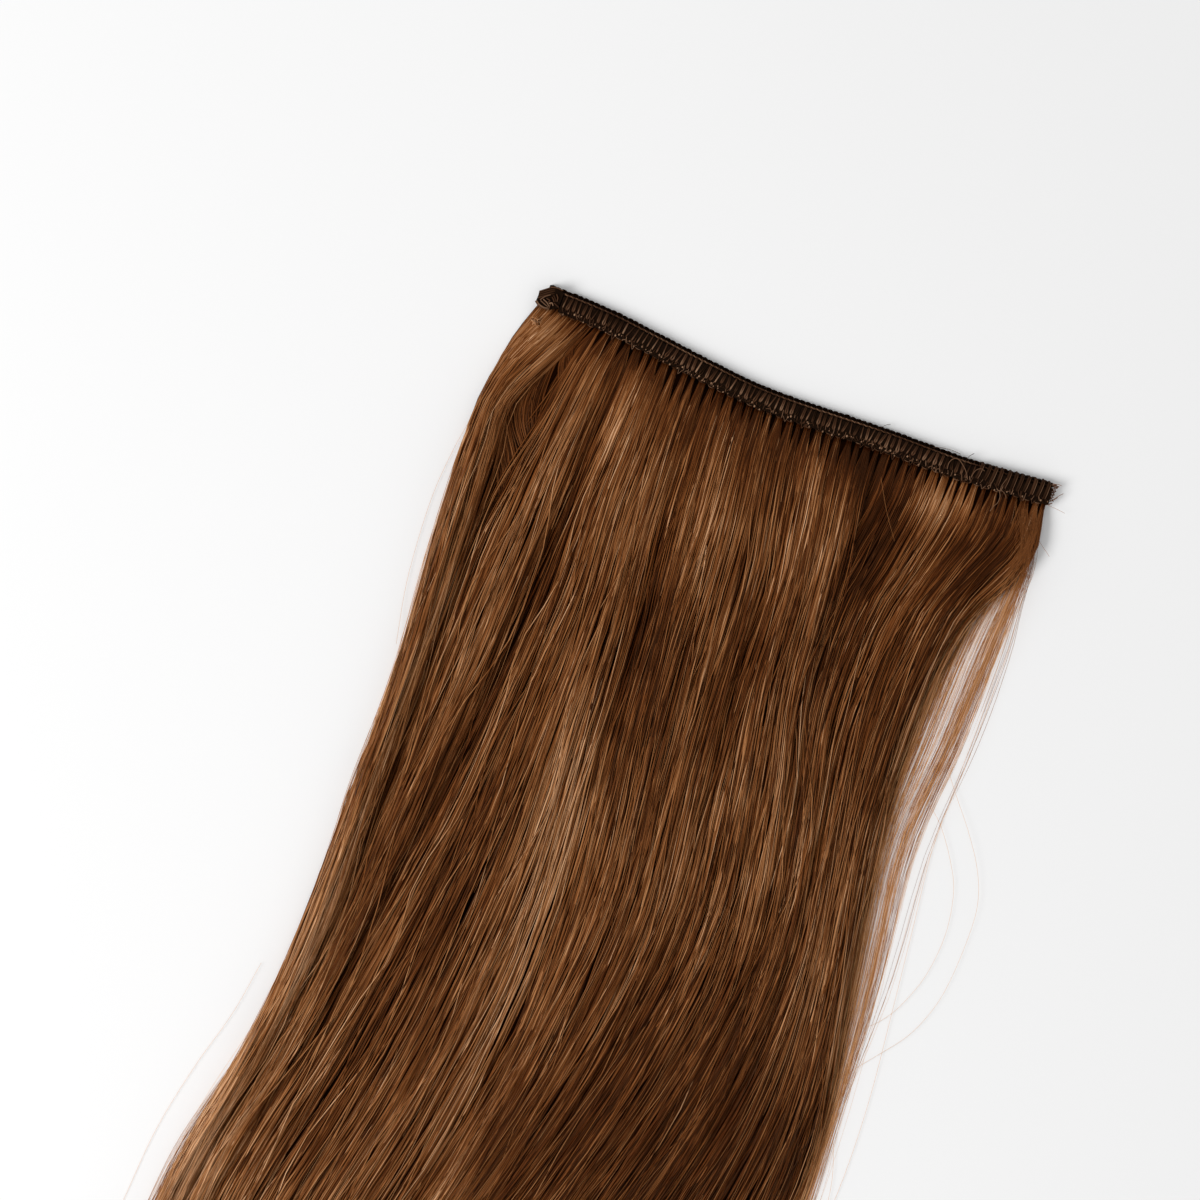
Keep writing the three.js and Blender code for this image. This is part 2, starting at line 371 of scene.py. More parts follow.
# Single hairs that lie across the locks: so many for so many strands
LOOSE_HAIRS = 11
LOOSE_STRANDS = 37
LOOSE_RINGS = 13
LOOSE_MARGIN = 0.02
LOOSE_DRIFT = 0.04
LOOSE_WAVE = (0.5, 30, 80)
LOOSE_ARCH = 0.5
LOOSE_SINK = 0.15
# Share of the painted light and shade that the loose hairs take on
LOOSE_PAINTED_LIGHT_SHARE = 0.6

# Flyaway hairs: tone and points
FLYAWAY_RADIUS = 0.035
FLYAWAYS = [
    (0.8, [(75, -76, 0.6), (81, -83.5, 0.9), (88, -92, 1.2), (94, -101, 1.2), (97.4, -110, 1.0),
           (98.2, -121, 0.8), (97.6, -134, 0.8), (95.6, -143, 0.8), (92, -151, 0.7), (86, -159, 0.6),
           (79, -168, 0.6)]),
    (0.8, [(71, -86, 0.8), (79, -91.8, 0.9), (86, -101, 0.8), (90, -109, 0.7), (92, -120.6, 0.7),
           (91, -133, 0.7), (87.6, -143, 0.7), (84, -149, 0.6), (79, -154, 0.8)]),
    (0.8, [(76, -20, 0.8), (78.4, -40, 0.6), (79.6, -60, 0.5), (79.8, -82, 0.4), (80.2, -100, 0.4),
           (83, -122, 0.5), (86, -146, 0.6), (89, -172, 0.5), (90, -196, 0.4), (89, -220, 0.3)]),
    (0.8, [(-82, -196, 0.7), (-84.4, -212, 0.6), (-89, -230, 0.5), (-92.6, -250, 0.4), (-94, -272, 0.3)]),
    (0.8, [(-81.5, -30, 0.8), (-83.6, -44, 0.6), (-84.4, -60, 0.5), (-82.6, -82, 0.6), (-79, -100, 1.2)]),
    (0.8, [(79, -176, 0.8), (84.5, -187, 0.7), (88, -199, 0.6), (88.6, -214, 0.5), (86, -231, 0.5)]),
    (0.4, [(29.3, -9, 5.2), (34, -17, 5.8), (39.1, -24, 5.2)]),
]

# Overcast bars: one or two plies with a tone at each of five points, and broad ones at the right,
# whose plies have a step to the right, radius, tones and rise
BAR_PITCH = (1.52, 0.1)
BAR_INSET = 0.9
BAR_RADIUS = 0.23
BAR_LOW = (-1.6, 0.2)
BAR_SINGLE = (0.55, 0.8)
BAR_TONES = np.array([0.16, 0.26, 0.40, 0.56, 0.42])
BAR_RINGS = 11
WIDE_BARS = 53.0
WIDE_PITCH = (1.95, 0.15)
WIDE_LOW = (-1.8, 0.25)
# The thin paler ply beside each broad one is a painted highlight
WIDE_PLIES = [
    (0.0, 0.40, np.array([0.36, 0.33, 0.30, 0.28, 0.22]), 0.0),
    (0.5, 0.12, np.array([0.42, 0.46, 0.52, 0.60, 0.50]), 0.22),
]

# Dark zigzag along the front track's lower edge, uneven threads and beads over it
CHAIN_HIGH = -1.5
CHAIN_LOW = -2.9
CHAIN_RADIUS = 0.15
CHAIN_JITTER = 0.2
CHAIN_RINGS = 5
UNEVEN_PITCH = (0.8, 1.5)
UNEVEN_RINGS = 8
BRANCH_SHARE = 0.4
BEAD_SHARE = 0.65
BEAD_RINGS = 7
BEAD_REACH = 0.96
BEAD_LEVEL = FRONT_TOP + 0.12
BEAD_WIDTH = 0.8

# Threads that bind the tufts, loops along the back rim, and the twisted cord
BIND_RADIUS = 0.12
BETWEEN_SHARE = 0.4
BETWEEN_RADIUS = 0.10
RIM_PITCH = 1.65
RIM_RADIUS = 0.27
RIM_THREAD = 0.075
CORD_TWIST = 1.7
CORD_RING = 0.24
CORD_PLY = 0.14
CORD_ORBIT = 0.13
CORD_SHIFT = -0.1
CORD_RISE = 0.2

# Folded left end: knot threads as places right of and above the knot's middle in the view, and tone
KNOT_MIDDLE = (-73.9, 3.0)
KNOT_PALE_FROM = 0.3
KNOT_THREADS = [
    (0.55, [(-3.3, 0.4), (-2.3, -1.0), (-0.5, -1.75), (0.35, -1.8), (0.7, -0.9), (1.1, 0.0)]),
    (0.75, [(-3.0, 0.5), (-2.2, -0.6), (-1.0, -1.4), (0.2, -1.6)]),
    (0.62, [(-1.8, 0.5), (-0.5, -0.7), (0.2, -1.2)]),
    (0.70, [(-1.1, 0.9), (0.0, -0.2), (0.4, -1.1)]),
    (0.50, [(-0.2, 1.1), (0.7, 0.5), (0.2, 0.0)]),
    (0.62, [(-2.0, 0.7), (-0.6, 1.6), (1.0, 2.1)]),
    (0.80, [(0.5, -0.3), (1.3, -0.2), (1.6, -0.9)]),
    (0.04, [(-1.5, 0.2), (-0.6, -0.2), (0.2, -0.6)]),
    (0.04, [(0.0, 1.4), (0.7, 1.3), (1.5, 1.5)]),
    (0.04, [(-0.7, -1.2), (-0.1, -0.9), (0.5, -0.4)]),
    (0.45, [(1.3, 1.5), (1.7, 0.8), (1.9, 0.1)]),
    (0.30, [(1.8, 1.9), (2.2, 1.0), (2.4, 0.2)]),
    (0.50, [(2.6, 2.2), (2.9, 1.2), (2.7, 0.2)]),
    (0.40, [(1.9, -0.2), (2.5, -0.8), (3.2, -1.4)]),
    (0.55, [(1.0, 4.2), (2.6, 4.0), (4.4, 3.2)]),
]
# Threads woven over the flap: share of the run to the right and up, and height above the track
FLAP_WEAVES = 8
FLAP_START = (-2.6, 1.0)
FLAP_STEP = (0.06, 0.30)
FLAP_RUN = (4.6, 1.2)
FLAP_PATH = [(0, 0, -0.2), (0.1, 0.12, 0.08), (0.5, 0.58, 0.14), (0.9, 0.95, 0.08), (1, 1, -0.2)]
FLAP_RADIUS = 0.15
FLAP_TONES = (0.2, 0.45)
# Frizz below the flap, with near-black beads as painted shade in the holes, at places right of and above
# the knot's middle
FRIZZ_COUNT = 30
FRIZZ_MIDDLE = (-3.1, -5.4)
FRIZZ_SPREAD = (0.6, 0.7)
FRIZZ_POINTS = 6
FRIZZ_LEVEL = 3.0
FRIZZ_RADIUS = 0.085
FRIZZ_SHADOW_SPOTS = [(-3.9, -4.7), (-2.5, -4.9), (-2.3, -5.9), (-3.5, -5.6)]
SHADOW_SPOT_RADIUS = 0.2
SHADOW_SPOT_TONE = 0.02

# Loose threads on the band, frayed hairs at its right end and stubs at its top: radius, tone, points
LOOSE_THREADS = [
    (0.13, 0.62, [(45.6, -1.6, 3.5), (45.5, 0.2, 3.8), (46.3, 1.6, 4.0), (47.6, 1.9, 4.0),
                  (49.2, 0.9, 3.9), (50.8, -0.8, 3.8), (51.8, -2.6, 3.6)]),
    (0.12, 0.6, [(52.6, -1.2, 3.6), (53.2, 0.5, 3.85), (54.4, 1.3, 3.9), (55.6, 1.0, 3.7)]),
    (0.12, 0.6, [(62.6, 1.9, 3.6), (61.6, -0.4, 3.75), (61.2, -2.4, 3.6), (62.6, -3.4, 3.5),
                 (63.4, -4.6, 3.2)]),
    (0.11, 0.7, [(61.0, -3.0, 3.5), (61.6, -4.6, 3.4), (61.4, -6.4, 3.6), (60.6, -7.6, 3.8),
                 (60.0, -9.2, 3.9)]),
    (0.13, 0.7, [(60.1, -2.7, 3.5), (60.7, -3.1, 3.75), (61.5, -2.8, 3.7), (61.0, -2.5, 3.6)]),
]
RIGHT_FRAY = [
    (0.07, 0.25, [(74.6, -2.6, 2.4), (76.0, -1.5, 2.3), (77.2, 0.2, 2.4), (78.2, 1.3, 2.5)]),
    (0.07, 0.20, [(74.6, -2.2, 2.2), (75.9, -1.8, 2.0), (77.2, -0.2, 2.0)]),
    (0.06, 0.30, [(74.6, 2.6, 2.9), (75.8, 3.1, 2.7), (76.9, 3.2, 2.6)]),
    (0.04, 0.45, [(74.4, -3.0, 2.0), (76.4, -3.2, 1.8), (78.4, -3.3, 1.6), (80.6, -3.5, 1.4)]),
    (0.04, 0.45, [(73.6, -11, 1.6), (77, -13.4, 1.5), (81, -16.2, 1.2)]),
]
TOP_STUBS = [
    (0.06, 0.4, [(24.5, 2.6, 2.0), (25.6, 3.9, 1.8), (26.9, 4.7, 1.7)]),
    (0.06, 0.4, [(49.8, 2.6, 2.2), (50.6, 4.0, 2.2), (51.5, 4.9, 2.3), (51.0, 4.5, 2.5)]),
    (0.06, 0.6, [(40.0, 2.8, 1.8), (42.6, 3.6, 1.5), (45.4, 3.9, 1.2), (48.0, 3.7, 0.9)]),
]
FUZZ_COUNT = 34

# Colours by tone, a tint along a strand with a painted shadow of the band at the roots, and tints of the
# gloss
HAIR_STOPS = [
    (0.0, (0.0125, 0.0024, 0.0004)),
    (0.25, (0.073, 0.0158, 0.0023)),
    (0.5, (0.201, 0.0645, 0.0160)),
    (0.75, (0.402, 0.177, 0.067)),
    (1.0, (0.68, 0.390, 0.212)),
]
# Fine hair: its own colour, painted paler and warmer for light shining through it
FINE_THROUGH_LIGHT_STOPS = [
    (0.0, (0.055, 0.016, 0.004)),
    (0.3, (0.23, 0.080, 0.024)),
    (0.6, (0.48, 0.21, 0.075)),
    (1.0, (0.88, 0.51, 0.25)),
]
# Colours of the inner body: painted shade
CORE_SHADE_STOPS = [(0.0, (0.013, 0.0034, 0.0007)), (1.0, (0.052, 0.0150, 0.0035))]
THREAD_STOPS = [
    (0.0, (0.0042, 0.0019, 0.0009)),
    (0.3, (0.0185, 0.0080, 0.0036)),
    (0.6, (0.070, 0.0305, 0.0150)),
    (1.0, (0.29, 0.165, 0.096)),
]
GROUND_STOPS = [(0.05, (0.0042, 0.0019, 0.0009)), (0.7, (0.022, 0.0100, 0.0048))]
ROOT_SHADOW_ALONG_STOPS = [(0.0, (0.85, 0.83, 0.80)), (0.1, (1.0, 1.0, 1.0)), (1.0, (1.0, 0.98, 0.95))]
EVEN_STOPS = [(0.0, (1.0, 1.0, 1.0)), (1.0, (0.96, 0.96, 0.96))]
GOLDEN = (1.0, 0.66, 0.35)
NEUTRAL = (1.0, 0.9, 0.8)

# Floor, light and camera; the key light's place is along the photo's right and down and up, in metres
VIEW_CENTRE = (-30.7, -68.4)
FRAME_WIDTH = 331.1
LENS = 85.0
SENSOR = 36.0
HAIR_LEVEL = 4.0
FLOOR_HALF = 2500.0
FLOOR_COLOUR = (0.9, 0.9, 0.9, 1)
KEY_PLACE = (-1.6, 0.45, 1.35)
KEY_SIZE = 1.1
KEY_POWER = 34.5
WORLD_STRENGTH = 0.58


def smooth(stations, values, at):
    """Smooth curve through values given at stations."""
    s = np.asarray(stations, float)
    v = np.asarray(values, float)
    slope = np.empty_like(v)
    slope[1:-1] = (v[2:] - v[:-2]) / (s[2:] - s[:-2])
    slope[0] = (v[1] - v[0]) / (s[1] - s[0])
    slope[-1] = (v[-1] - v[-2]) / (s[-1] - s[-2])
    at = np.clip(at, s[0], s[-1])
    i = np.clip(np.searchsorted(s, at, side="right") - 1, 0, len(s) - 2)
    span = s[i + 1] - s[i]
    t = (at - s[i]) / span
    line = v[i] + (v[i + 1] - v[i]) * t * t * (3 - 2 * t)
    return line + span * t * (1 - t) * ((1 - t) * slope[i] - t * slope[i + 1])


def ease(low, high, at):
    """0 below low, 1 above high, smooth between."""
    t = np.clip((at - low) / (high - low), 0, 1)
    return t * t * (3 - 2 * t)


def mix(low, high, share):
    return low + (high - low) * share


def each(low, high, count):
    """A random value between low and high for each strand, as a column."""
    return rng.uniform(low, high, count)[:, None]


def band_middle(x):
    """Y of the band's middle line."""
    return smooth(BAND_X, BAND_Y, x)


def parting(name, drop):
    """X of a parting at a distance below the band."""
    return smooth(STATIONS, PARTINGS[name], drop)


def new_object(name, data):
    """Adds an object to the scene."""
    obj = bpy.data.objects.new(name, data)
    bpy.context.collection.objects.link(obj)
    return obj


def joined_mesh(name, parts, material):
    """One mesh object from parts: vertices, blocks of faces with as many corners each, and map."""
    verts, corners, starts, strand_uv = [], [], [], []
    vertex = 0
    corner = 0
    for part_verts, blocks, uv in parts:
        for block in blocks:
            corners.append((block + vertex).ravel())
            starts.append(corner + np.arange(len(block)) * block.shape[1])
            strand_uv.append(uv[block.ravel()])
            corner += block.size
        verts.append(part_verts)
        vertex += len(part_verts)
    verts = np.concatenate(verts)
    corners = np.concatenate(corners)
    starts = np.concatenate(starts)
    strand_uv = np.concatenate(strand_uv)
    mesh = bpy.data.meshes.new(name)
    mesh.vertices.add(len(verts))
    mesh.vertices.foreach_set("co", (verts * MM).astype(np.float32).ravel())
    mesh.loops.add(len(corners))
    mesh.loops.foreach_set("vertex_index", corners.astype(np.int32))
    mesh.polygons.add(len(starts))
    mesh.polygons.foreach_set("loop_start", starts.astype(np.int32))
    for map_name in ("Strand", "OFBake"):
        layer = mesh.uv_layers.new(name=map_name)
        layer.data.foreach_set("uv", strand_uv.astype(np.float32).ravel())
    mesh.update(calc_edges=True)
    mesh.validate()
    mesh.shade_smooth()
    mesh.materials.append(material)
    return new_object(name, mesh)


def tube_arrays(points, radius, tone, sides, turn):
    """Closed tubes along rows of points, with a map of distance along and tone. The tone is painted paler
    on each tube's upper side and darker on its lower sides, as painted shading.
    """
    tiny = 1e-9
    upright = 1e-3
    count, rings, _ = points.shape
    tangent = np.gradient(points, axis=1)
    tangent /= np.linalg.norm(tangent, axis=2, keepdims=True) + tiny
    side = np.cross(tangent, np.array([0.0, 0.0, 1.0]))
    flat = np.linalg.norm(side, axis=2, keepdims=True)
    side = np.where(flat < upright, np.array([1.0, 0.0, 0.0]), side / (flat + tiny))
    over = np.cross(side, tangent)
    angle = turn[:, None] + np.arange(sides)[None, :] * (FULL_TURN / sides)
    ring = (
        np.cos(angle)[:, None, :, None] * side[:, :, None, :]
        + np.sin(angle)[:, None, :, None] * over[:, :, None, :]
    )
    verts = points[:, :, None, :] + radius[:, :, None, None] * ring

    base = np.arange(count) * rings * sides
    here = np.arange(sides)
    first = base[:, None, None] + (np.arange(rings - 1) * sides)[None, :, None] + here
    after = first - here + (here + 1) % sides
    quads = np.stack([first, after, after + sides, first + sides], axis=-1).reshape(-1, 4)
    start_caps = base[:, None] + here[None, ::-1]
    end_caps = base[:, None] + (rings - 1) * sides + here[None, :]
    caps = np.concatenate([start_caps, end_caps])

    along = np.broadcast_to(np.linspace(*TUBE_ALONG, rings)[None, :, None], (count, rings, sides))
    painted_round_shade = ROUND_PAINTED_SHADE * np.sin(angle)[:, None, :]
    uv = np.stack([along, np.clip(tone[:, :, None] + painted_round_shade, *TUBE_TONES)], axis=-1)
    return verts.reshape(-1, 3), (quads, caps), uv.reshape(-1, 2)


def tube_object(name, groups, material):
    """One joined mesh from several groups of tubes."""
    return joined_mesh(name, [tube_arrays(*group) for group in groups], material)


def strand_group(x, y, z, radius, tone):
    """A group of strands as tubes above the floor, each turned at random about its own line."""
    z = np.maximum(z, radius + FLOOR_GAP)
    tone = np.clip(tone + np.zeros_like(x), *MAP_RANGE)
    turn = rng.uniform(0, FULL_TURN, len(x))
    return np.stack([x, y, z], axis=-1), radius, tone, STRAND_SIDES, turn


def wave_angle(member, drop, shortest, longest):
    """Angle of a slow wave along each strand and where it starts; a member's strands share one wave."""
    count = member.max() + 1
    length = rng.uniform(shortest, longest, count)[member][:, None]
    phase = rng.uniform(0, FULL_TURN, count)[member][:, None]
    return FULL_TURN * drop / length + phase, phase


def sway(member, drop, size, shortest, longest):
    """Slow side-to-side waves that start at nothing."""
    angle, phase = wave_angle(member, drop, shortest, longest)
    height = rng.normal(0, size, member.max() + 1)[member][:, None]
    return height * (np.sin(angle) - np.sin(phase))


def weave(member, drop, shortest, longest):
    """Waves between -1 and 1."""
    return np.sin(wave_angle(member, drop, shortest, longest)[0])


def swell(drop):
    """Share of its height that a lock has at a distance below the band."""
    return np.interp(drop, SWELL_DROP, SWELL_RISE)


def lock_top(lock, place, drop):
    """Height of a lock's upper surface at a place across it."""
    side = np.abs(2 * place - 1)
    foot = np.where(place < 0.5, lock.start_foot, lock.end_foot)
    dome = foot + (1 - foot) * np.clip(1 - side**DOME_POWER, 0, 1)
    return lock.height * swell(drop) * dome


def root_place(lock, across):
    """X of a strand where it leaves the band."""
    return mix(PARTINGS[lock.start][0], PARTINGS[lock.end][0], across)


def outer_share(place, begin):
    """0 up to a place across the lock, then rising to 1 at its right side."""
    return np.clip((place - begin) / (1 - begin), 0, 1)


def tuft_pull(root_x, drop):
    """How far a strand's tuft draws it in near the band, and how much it rounds the tuft."""
    tuft = np.clip(np.searchsorted(tuft_gaps, root_x) - 1, 0, TUFT_COUNT - 1)
    off = root_x - tuft_middles[tuft]
    hold = 1 - ease(0.5, 1.0, drop / tuft_lengths[tuft][:, None])
    gather = tuft_gathers[tuft] * ease(*TUFTS_FROM_X, root_x)
    return (gather * off)[:, None] * hold, hold * (1 - (2 * off / TUFT_PITCH) ** 2)[:, None]


def painted_light_and_shade(x, drop):
    """Painted light and shade at a place: painted shade in the creases, a painted shadow of the band over
    the roots, painted highlights and shade in broad patches, and slightly paler tips.
    """
    tone = -ROOT_PAINTED_SHADOW * (1 - ease(6, 34, drop)) + TIP_PALE * ease(0, HAIR_LENGTH, drop)
    for line, width, dark, reach in CREASE_PAINTED_SHADE:
        gap = x - parting(line, drop)
        fade = 1 - ease(reach, reach + CREASE_FADE, drop)
        tone = tone - dark * np.exp(-((gap / width) ** 2)) * fade
    for patch_x, patch_drop, half_width, half_length, patch_tone in PAINTED_LIGHT_PATCHES:
        across = (x - patch_x) / half_width
        along = (drop - patch_drop) / half_length
        tone = tone + patch_tone * np.exp(-(across**2) - along**2)
    return tone


def short_partings(lock, place, width, drop):
    """Sideways push that opens short narrow gaps between the strands."""
    push = np.zeros_like(drop)
    for _ in range(lock.subs // 2):
        off = (place - rng.uniform(0.06, 0.94)) * width
        gap_drop = rng.uniform(30, 330)
        half_length = rng.uniform(10, 26)
        opening = rng.uniform(0.06, 0.16)
        shut = np.clip(1 - ((drop - gap_drop) / half_length) ** 2, 0, 1)
        push += opening * shut * np.tanh(off / GAP_WALL) * np.exp(-np.abs(off) / GAP_SPREAD)
    return push


def spill(place, drop):
    """How far strands at the left side of the left lock slide down into the valley beside it."""
    size = rng.exponential(SPILL, len(place))[:, None] * np.clip(1 - place / SPILL_PLACE, 0, 1)
    run = drop - each(10, 40, len(place))
    return size * ease(0, 30, run) * (1 - ease(70, 120, drop))


def feather(place, drop):
    """How far the strands at the outer side of the right lock lie out over its edge."""
    spread = FEATHER * ease(4, 30, drop) * (1 - 0.6 * ease(20, 62, drop))
    return spread * outer_share(place, FEATHER_FROM) ** FEATHER_POWER


def strand_plan(lock):
    """Each strand's root and length, the sub-lock and clump it belongs to, and whether it crosses."""
    count = lock.strands
    single = np.arange(count)
    across = (single + rng.random(count)) / count
    shorter = np.minimum(rng.exponential(SHORTER_MEAN, count), SHORTER_MOST)
    length = (lock.length - shorter)[:, None]
    drop = ROOT_START + (length - ROOT_START) * (np.arange(RINGS) / (RINGS - 1)) ** RING_POWER
    edges = np.linspace(0, 1, lock.subs + 1)
    edges[1:-1] += rng.uniform(-SUB_JITTER, SUB_JITTER, lock.subs - 1) / lock.subs
    sub = np.clip(np.searchsorted(edges, across) - 1, 0, lock.subs - 1)
    clumps = count // CLUMP_STRANDS
    clump = np.minimum((across * clumps).astype(int), clumps - 1)
    clump_off = rng.uniform(-CLUMP_JITTER, CLUMP_JITTER, clumps)[clump]
    return SimpleNamespace(
        single=single,
        across=across,
        length=length,
        drop=drop,
        root_x=root_place(lock, across),
        sub=sub,
        sub_centre=((edges[:-1] + edges[1:]) / 2)[sub][:, None],
        sub_half=((edges[1:] - edges[:-1]) / 2)[sub][:, None],
        clumps=clumps,
        clump=clump,
        clump_centre=((clump + 0.5 + clump_off) / clumps)[:, None],
        crossing=rng.random(count)[:, None] < CROSSING_SHARE,
        away=ease(*LOOSENS, drop),
        tail=ease(0, TIP_TAPER, drop - (length - TIP_TAPER)),
    )


def strand_x(lock, s):
    """X of a lock's strands before the tufts draw them in, and their places across the lock."""
    start = parting(lock.start, s.drop)
    width = parting(lock.end, s.drop) - start
    place = mix(s.across[:, None], s.clump_centre, CLUMP_HOLD * ease(*CLUMPS_FORM, s.drop))
    tip_gather = mix(*TIP_GATHER, (s.sub * GOLDEN_SHARE) % 1)[:, None]
    place = np.clip(mix(place, s.sub_centre, SUB_HOLD * s.away + tip_gather * s.tail), 0, 1)
    if lock.piece == "hair_left_roll":
        place = place ** (1 + ROLL_CROWD * ease(*ROLL_FORMS, s.drop))
    x = start + width * place + s.away * short_partings(lock, place, width, s.drop)
    if lock.piece == "hair_left":
        x -= spill(place, s.drop)
    if lock.piece == "hair_right":
        x += feather(place, s.drop)
    x += s.away * sway(s.sub, s.drop, *SUB_WAVE)
    x += s.away * sway(s.clump, s.drop, *CLUMP_WAVE)
    x += ease(*WAVES_SET_IN, s.drop) * sway(s.single, s.drop, *SINGLE_WAVE)
    roam = s.crossing * s.away
    if lock.piece == "hair_left_roll":
        roam = roam * np.clip(place * width / ROAM_MARGIN, 0, 1)
    x += roam * sway(s.single, s.drop, *CROSSING_WAVE)
    return x, place


def strand_z(lock, s, place, tuft_round):
    """Height of a lock's strands, rounded by lock, sub-lock and tuft, and how deep each strand runs."""
    depth = 0.5 - 0.5 * weave(s.single, s.drop, *SINGLE_WEAVE)
    depth = depth + CLUMP_DEPTH * weave(s.clump, s.drop, *CLUMP_WEAVE)
    depth = np.where(s.crossing, 0.0, np.clip(depth, 0, DEPTH_MOST))
    sub_round = 1 - ((place - s.sub_centre) / s.sub_half) ** 2
    sub_lift = rng.normal(0, SUB_UNEVEN, lock.subs)[s.sub][:, None]
    z = lock_top(lock, place, s.drop) * (1 - TIP_SINK * s.tail)
    z += s.away * (1 - s.tail) * (SUB_RISE * sub_round + sub_lift - SUB_LOWER)
    z -= ease(*LAYERS_FORM, s.drop) * LAYER_DEPTH * depth
    z += TUFT_RISE * tuft_round
    if lock.piece == "hair_right":
        z += EDGE_LIFT * outer_share(place, EDGE_LIFT_FROM) * (1 - ease(*LIFT_ENDS, s.drop))
    slot = each(*SLOT_LEVELS, lock.strands)
    return mix(slot, z, ease(*LEAVES_BAND, s.drop)), depth


def comb_lock(lock):
    """Strands of one main lock: thinner at the outer right; painted shade on strands that run deep,
    painted light on crossing strands and on the thin outer ones.
    """
    s = strand_plan(lock)
    x, place = strand_x(lock, s)
    pull, tuft_round = tuft_pull(s.root_x, s.drop)
    x -= pull
    y = band_middle(s.root_x)[:, None] - s.drop
    z, depth = strand_z(lock, s, place, tuft_round)
    thickness = np.where(s.crossing, CROSSING_SIZE, each(*STRAND_SIZES, lock.strands))
    outer = np.zeros_like(s.drop)
    if lock.piece == "hair_right":
        outer = outer_share(place, OUTER_FROM) * ease(*OUTER_THINS, s.drop)
        thickness = thickness * (1 - OUTER_THIN * outer)
    radius = STRAND_RADIUS * thickness * (1 - TIP_THIN * ease(TIP_THIN_FROM, 1, s.drop / s.length))
    tone = BASE_TONE + lock.tone + rng.normal(0, SUB_TONE, lock.subs)[s.sub]
    tone = tone + rng.normal(0, CLUMP_TONE, s.clumps)[s.clump]
    tone = tone + rng.normal(0, lock.uneven, lock.strands)
    tone = tone[:, None] + CROSSING_PAINTED_HIGHLIGHT * s.crossing + rng.normal(0, PATCHY, s.drop.shape)
    tone = tone - DEPTH_PAINTED_SHADE * depth + painted_light_and_shade(x, s.drop) + OUTER_PAINTED_LIGHT * outer
    return strand_group(x, y, z, radius, tone)


def valley_strands():
    """Strands beside the roll: they fan out or peel off it, and run under the next lock, with painted
    shade that deepens as they run.
    """
    count = VALLEY.strands
    fan = (np.arange(count) < FAN_SHARE * count)[:, None]
    leave = np.where(fan, each(10, 16, count), each(13, 44, count))
    begin = np.where(fan, ROOT_START, np.maximum(ROOT_START, leave - PEEL_HELD))
    last = leave + each(26, 40, count)
    drop = begin + (last - begin) * np.linspace(0, 1, VALLEY_RINGS)
    run = np.maximum(drop - leave, 0)
    bend = run**2 / (run + VALLEY_BEND)
    lean = rng.normal(0.5, 0.07, count)[:, None]
    held = np.minimum(drop, leave)
    fan_x = mix(parting(VALLEY.start, held), parting(VALLEY.end, held), rng.random(count)[:, None])
    peel_x = parting(VALLEY.start, drop) - each(0.4, 1.2, count)
    x = np.where(fan, fan_x, peel_x) + lean * bend + sway(np.arange(count), run, *VALLEY_WAVE)
    y = band_middle(VALLEY_X) - drop
    level = VALLEY.height * swell(drop) * (1 - 0.3 * ease(0, 34, run))
    z = mix(ROOT_LEVEL, level, ease(2.5, 12, drop))
    z -= each(0, 0.8, count) * ease(4, 14, drop)
    radius = STRAND_RADIUS * each(0.7, 1.1, count) + np.zeros_like(drop)
    tone = BASE_TONE + VALLEY.tone + rng.normal(0, VALLEY.uneven, count)[:, None]
    tone = tone - VALLEY_PAINTED_SHADE_UNDER * run + VALLEY_PAINTED_LIGHT_SHARE * painted_light_and_shade(x, drop)
    return strand_group(x, y, z, radius, tone)


def core_lock(lock):
    """Inner body of one lock, so that the hair is dense: a closed slab below the strands, dark as painted
    shade.
    """
    place = np.linspace(-CORE_OVERLAP, 1 + CORE_OVERLAP, CORE_COLUMNS)[None, :]
    last = lock.length - CORE_END + CORE_TONGUE * np.sin(math.pi * place * lock.subs) ** 2
    steps = np.linspace(0, 1, CORE_ROWS)[:, None] ** CORE_ROW_POWER
    drop = CORE_START + (last - CORE_START) * steps
    x = mix(parting(lock.start, drop), parting(lock.end, drop), place)
    if lock.piece == "hair_right":
        x = x + CORE_FEATHER * feather(place, drop)
    y = band_middle(root_place(lock, place)) - drop
    fade = 1 - CORE_FADE * ease(lock.length - CORE_FADE_FROM, lock.length - CORE_FADE_TO, drop)
    top = CORE_SHARE * lock_top(lock, place, drop) * fade - CORE_BELOW
    top = np.clip(top, CORE_THINNEST, 1.1 + 0.25 * (drop - CORE_START))
    upper = np.stack([x, y, top], axis=-1)
    lower = np.stack([x, y, np.full_like(x, CORE_BOTTOM)], axis=-1)
    verts = np.concatenate([upper.reshape(-1, 3), lower.reshape(-1, 3)])
    index = np.arange(x.size).reshape(x.shape)
    a, b, c, d = index[:-1, :-1], index[:-1, 1:], index[1:, 1:], index[1:, :-1]
    top_faces = np.stack([a, d, c, b], axis=-1).reshape(-1, 4)
    low_faces = np.stack([a, b, c, d], axis=-1).reshape(-1, 4) + x.size
    rim = np.concatenate([index[0, :], index[1:, -1], index[-1, -2::-1], index[-2:0:-1, 0]])
    rim_next = np.roll(rim, -1)
    walls = np.stack([rim, rim_next, rim_next + x.size, rim + x.size], axis=-1)
    streak = np.clip(rng.normal(0.3, 0.12, CORE_COLUMNS), 0.02, 0.6)
    along = np.broadcast_to(np.linspace(*MAP_RANGE, CORE_ROWS)[:, None], x.shape)
    uv = np.stack([along, np.broadcast_to(streak[None, :], x.shape)], axis=-1).reshape(-1, 2)
    return verts, (top_faces, low_faces, walls), np.concatenate([uv, uv])


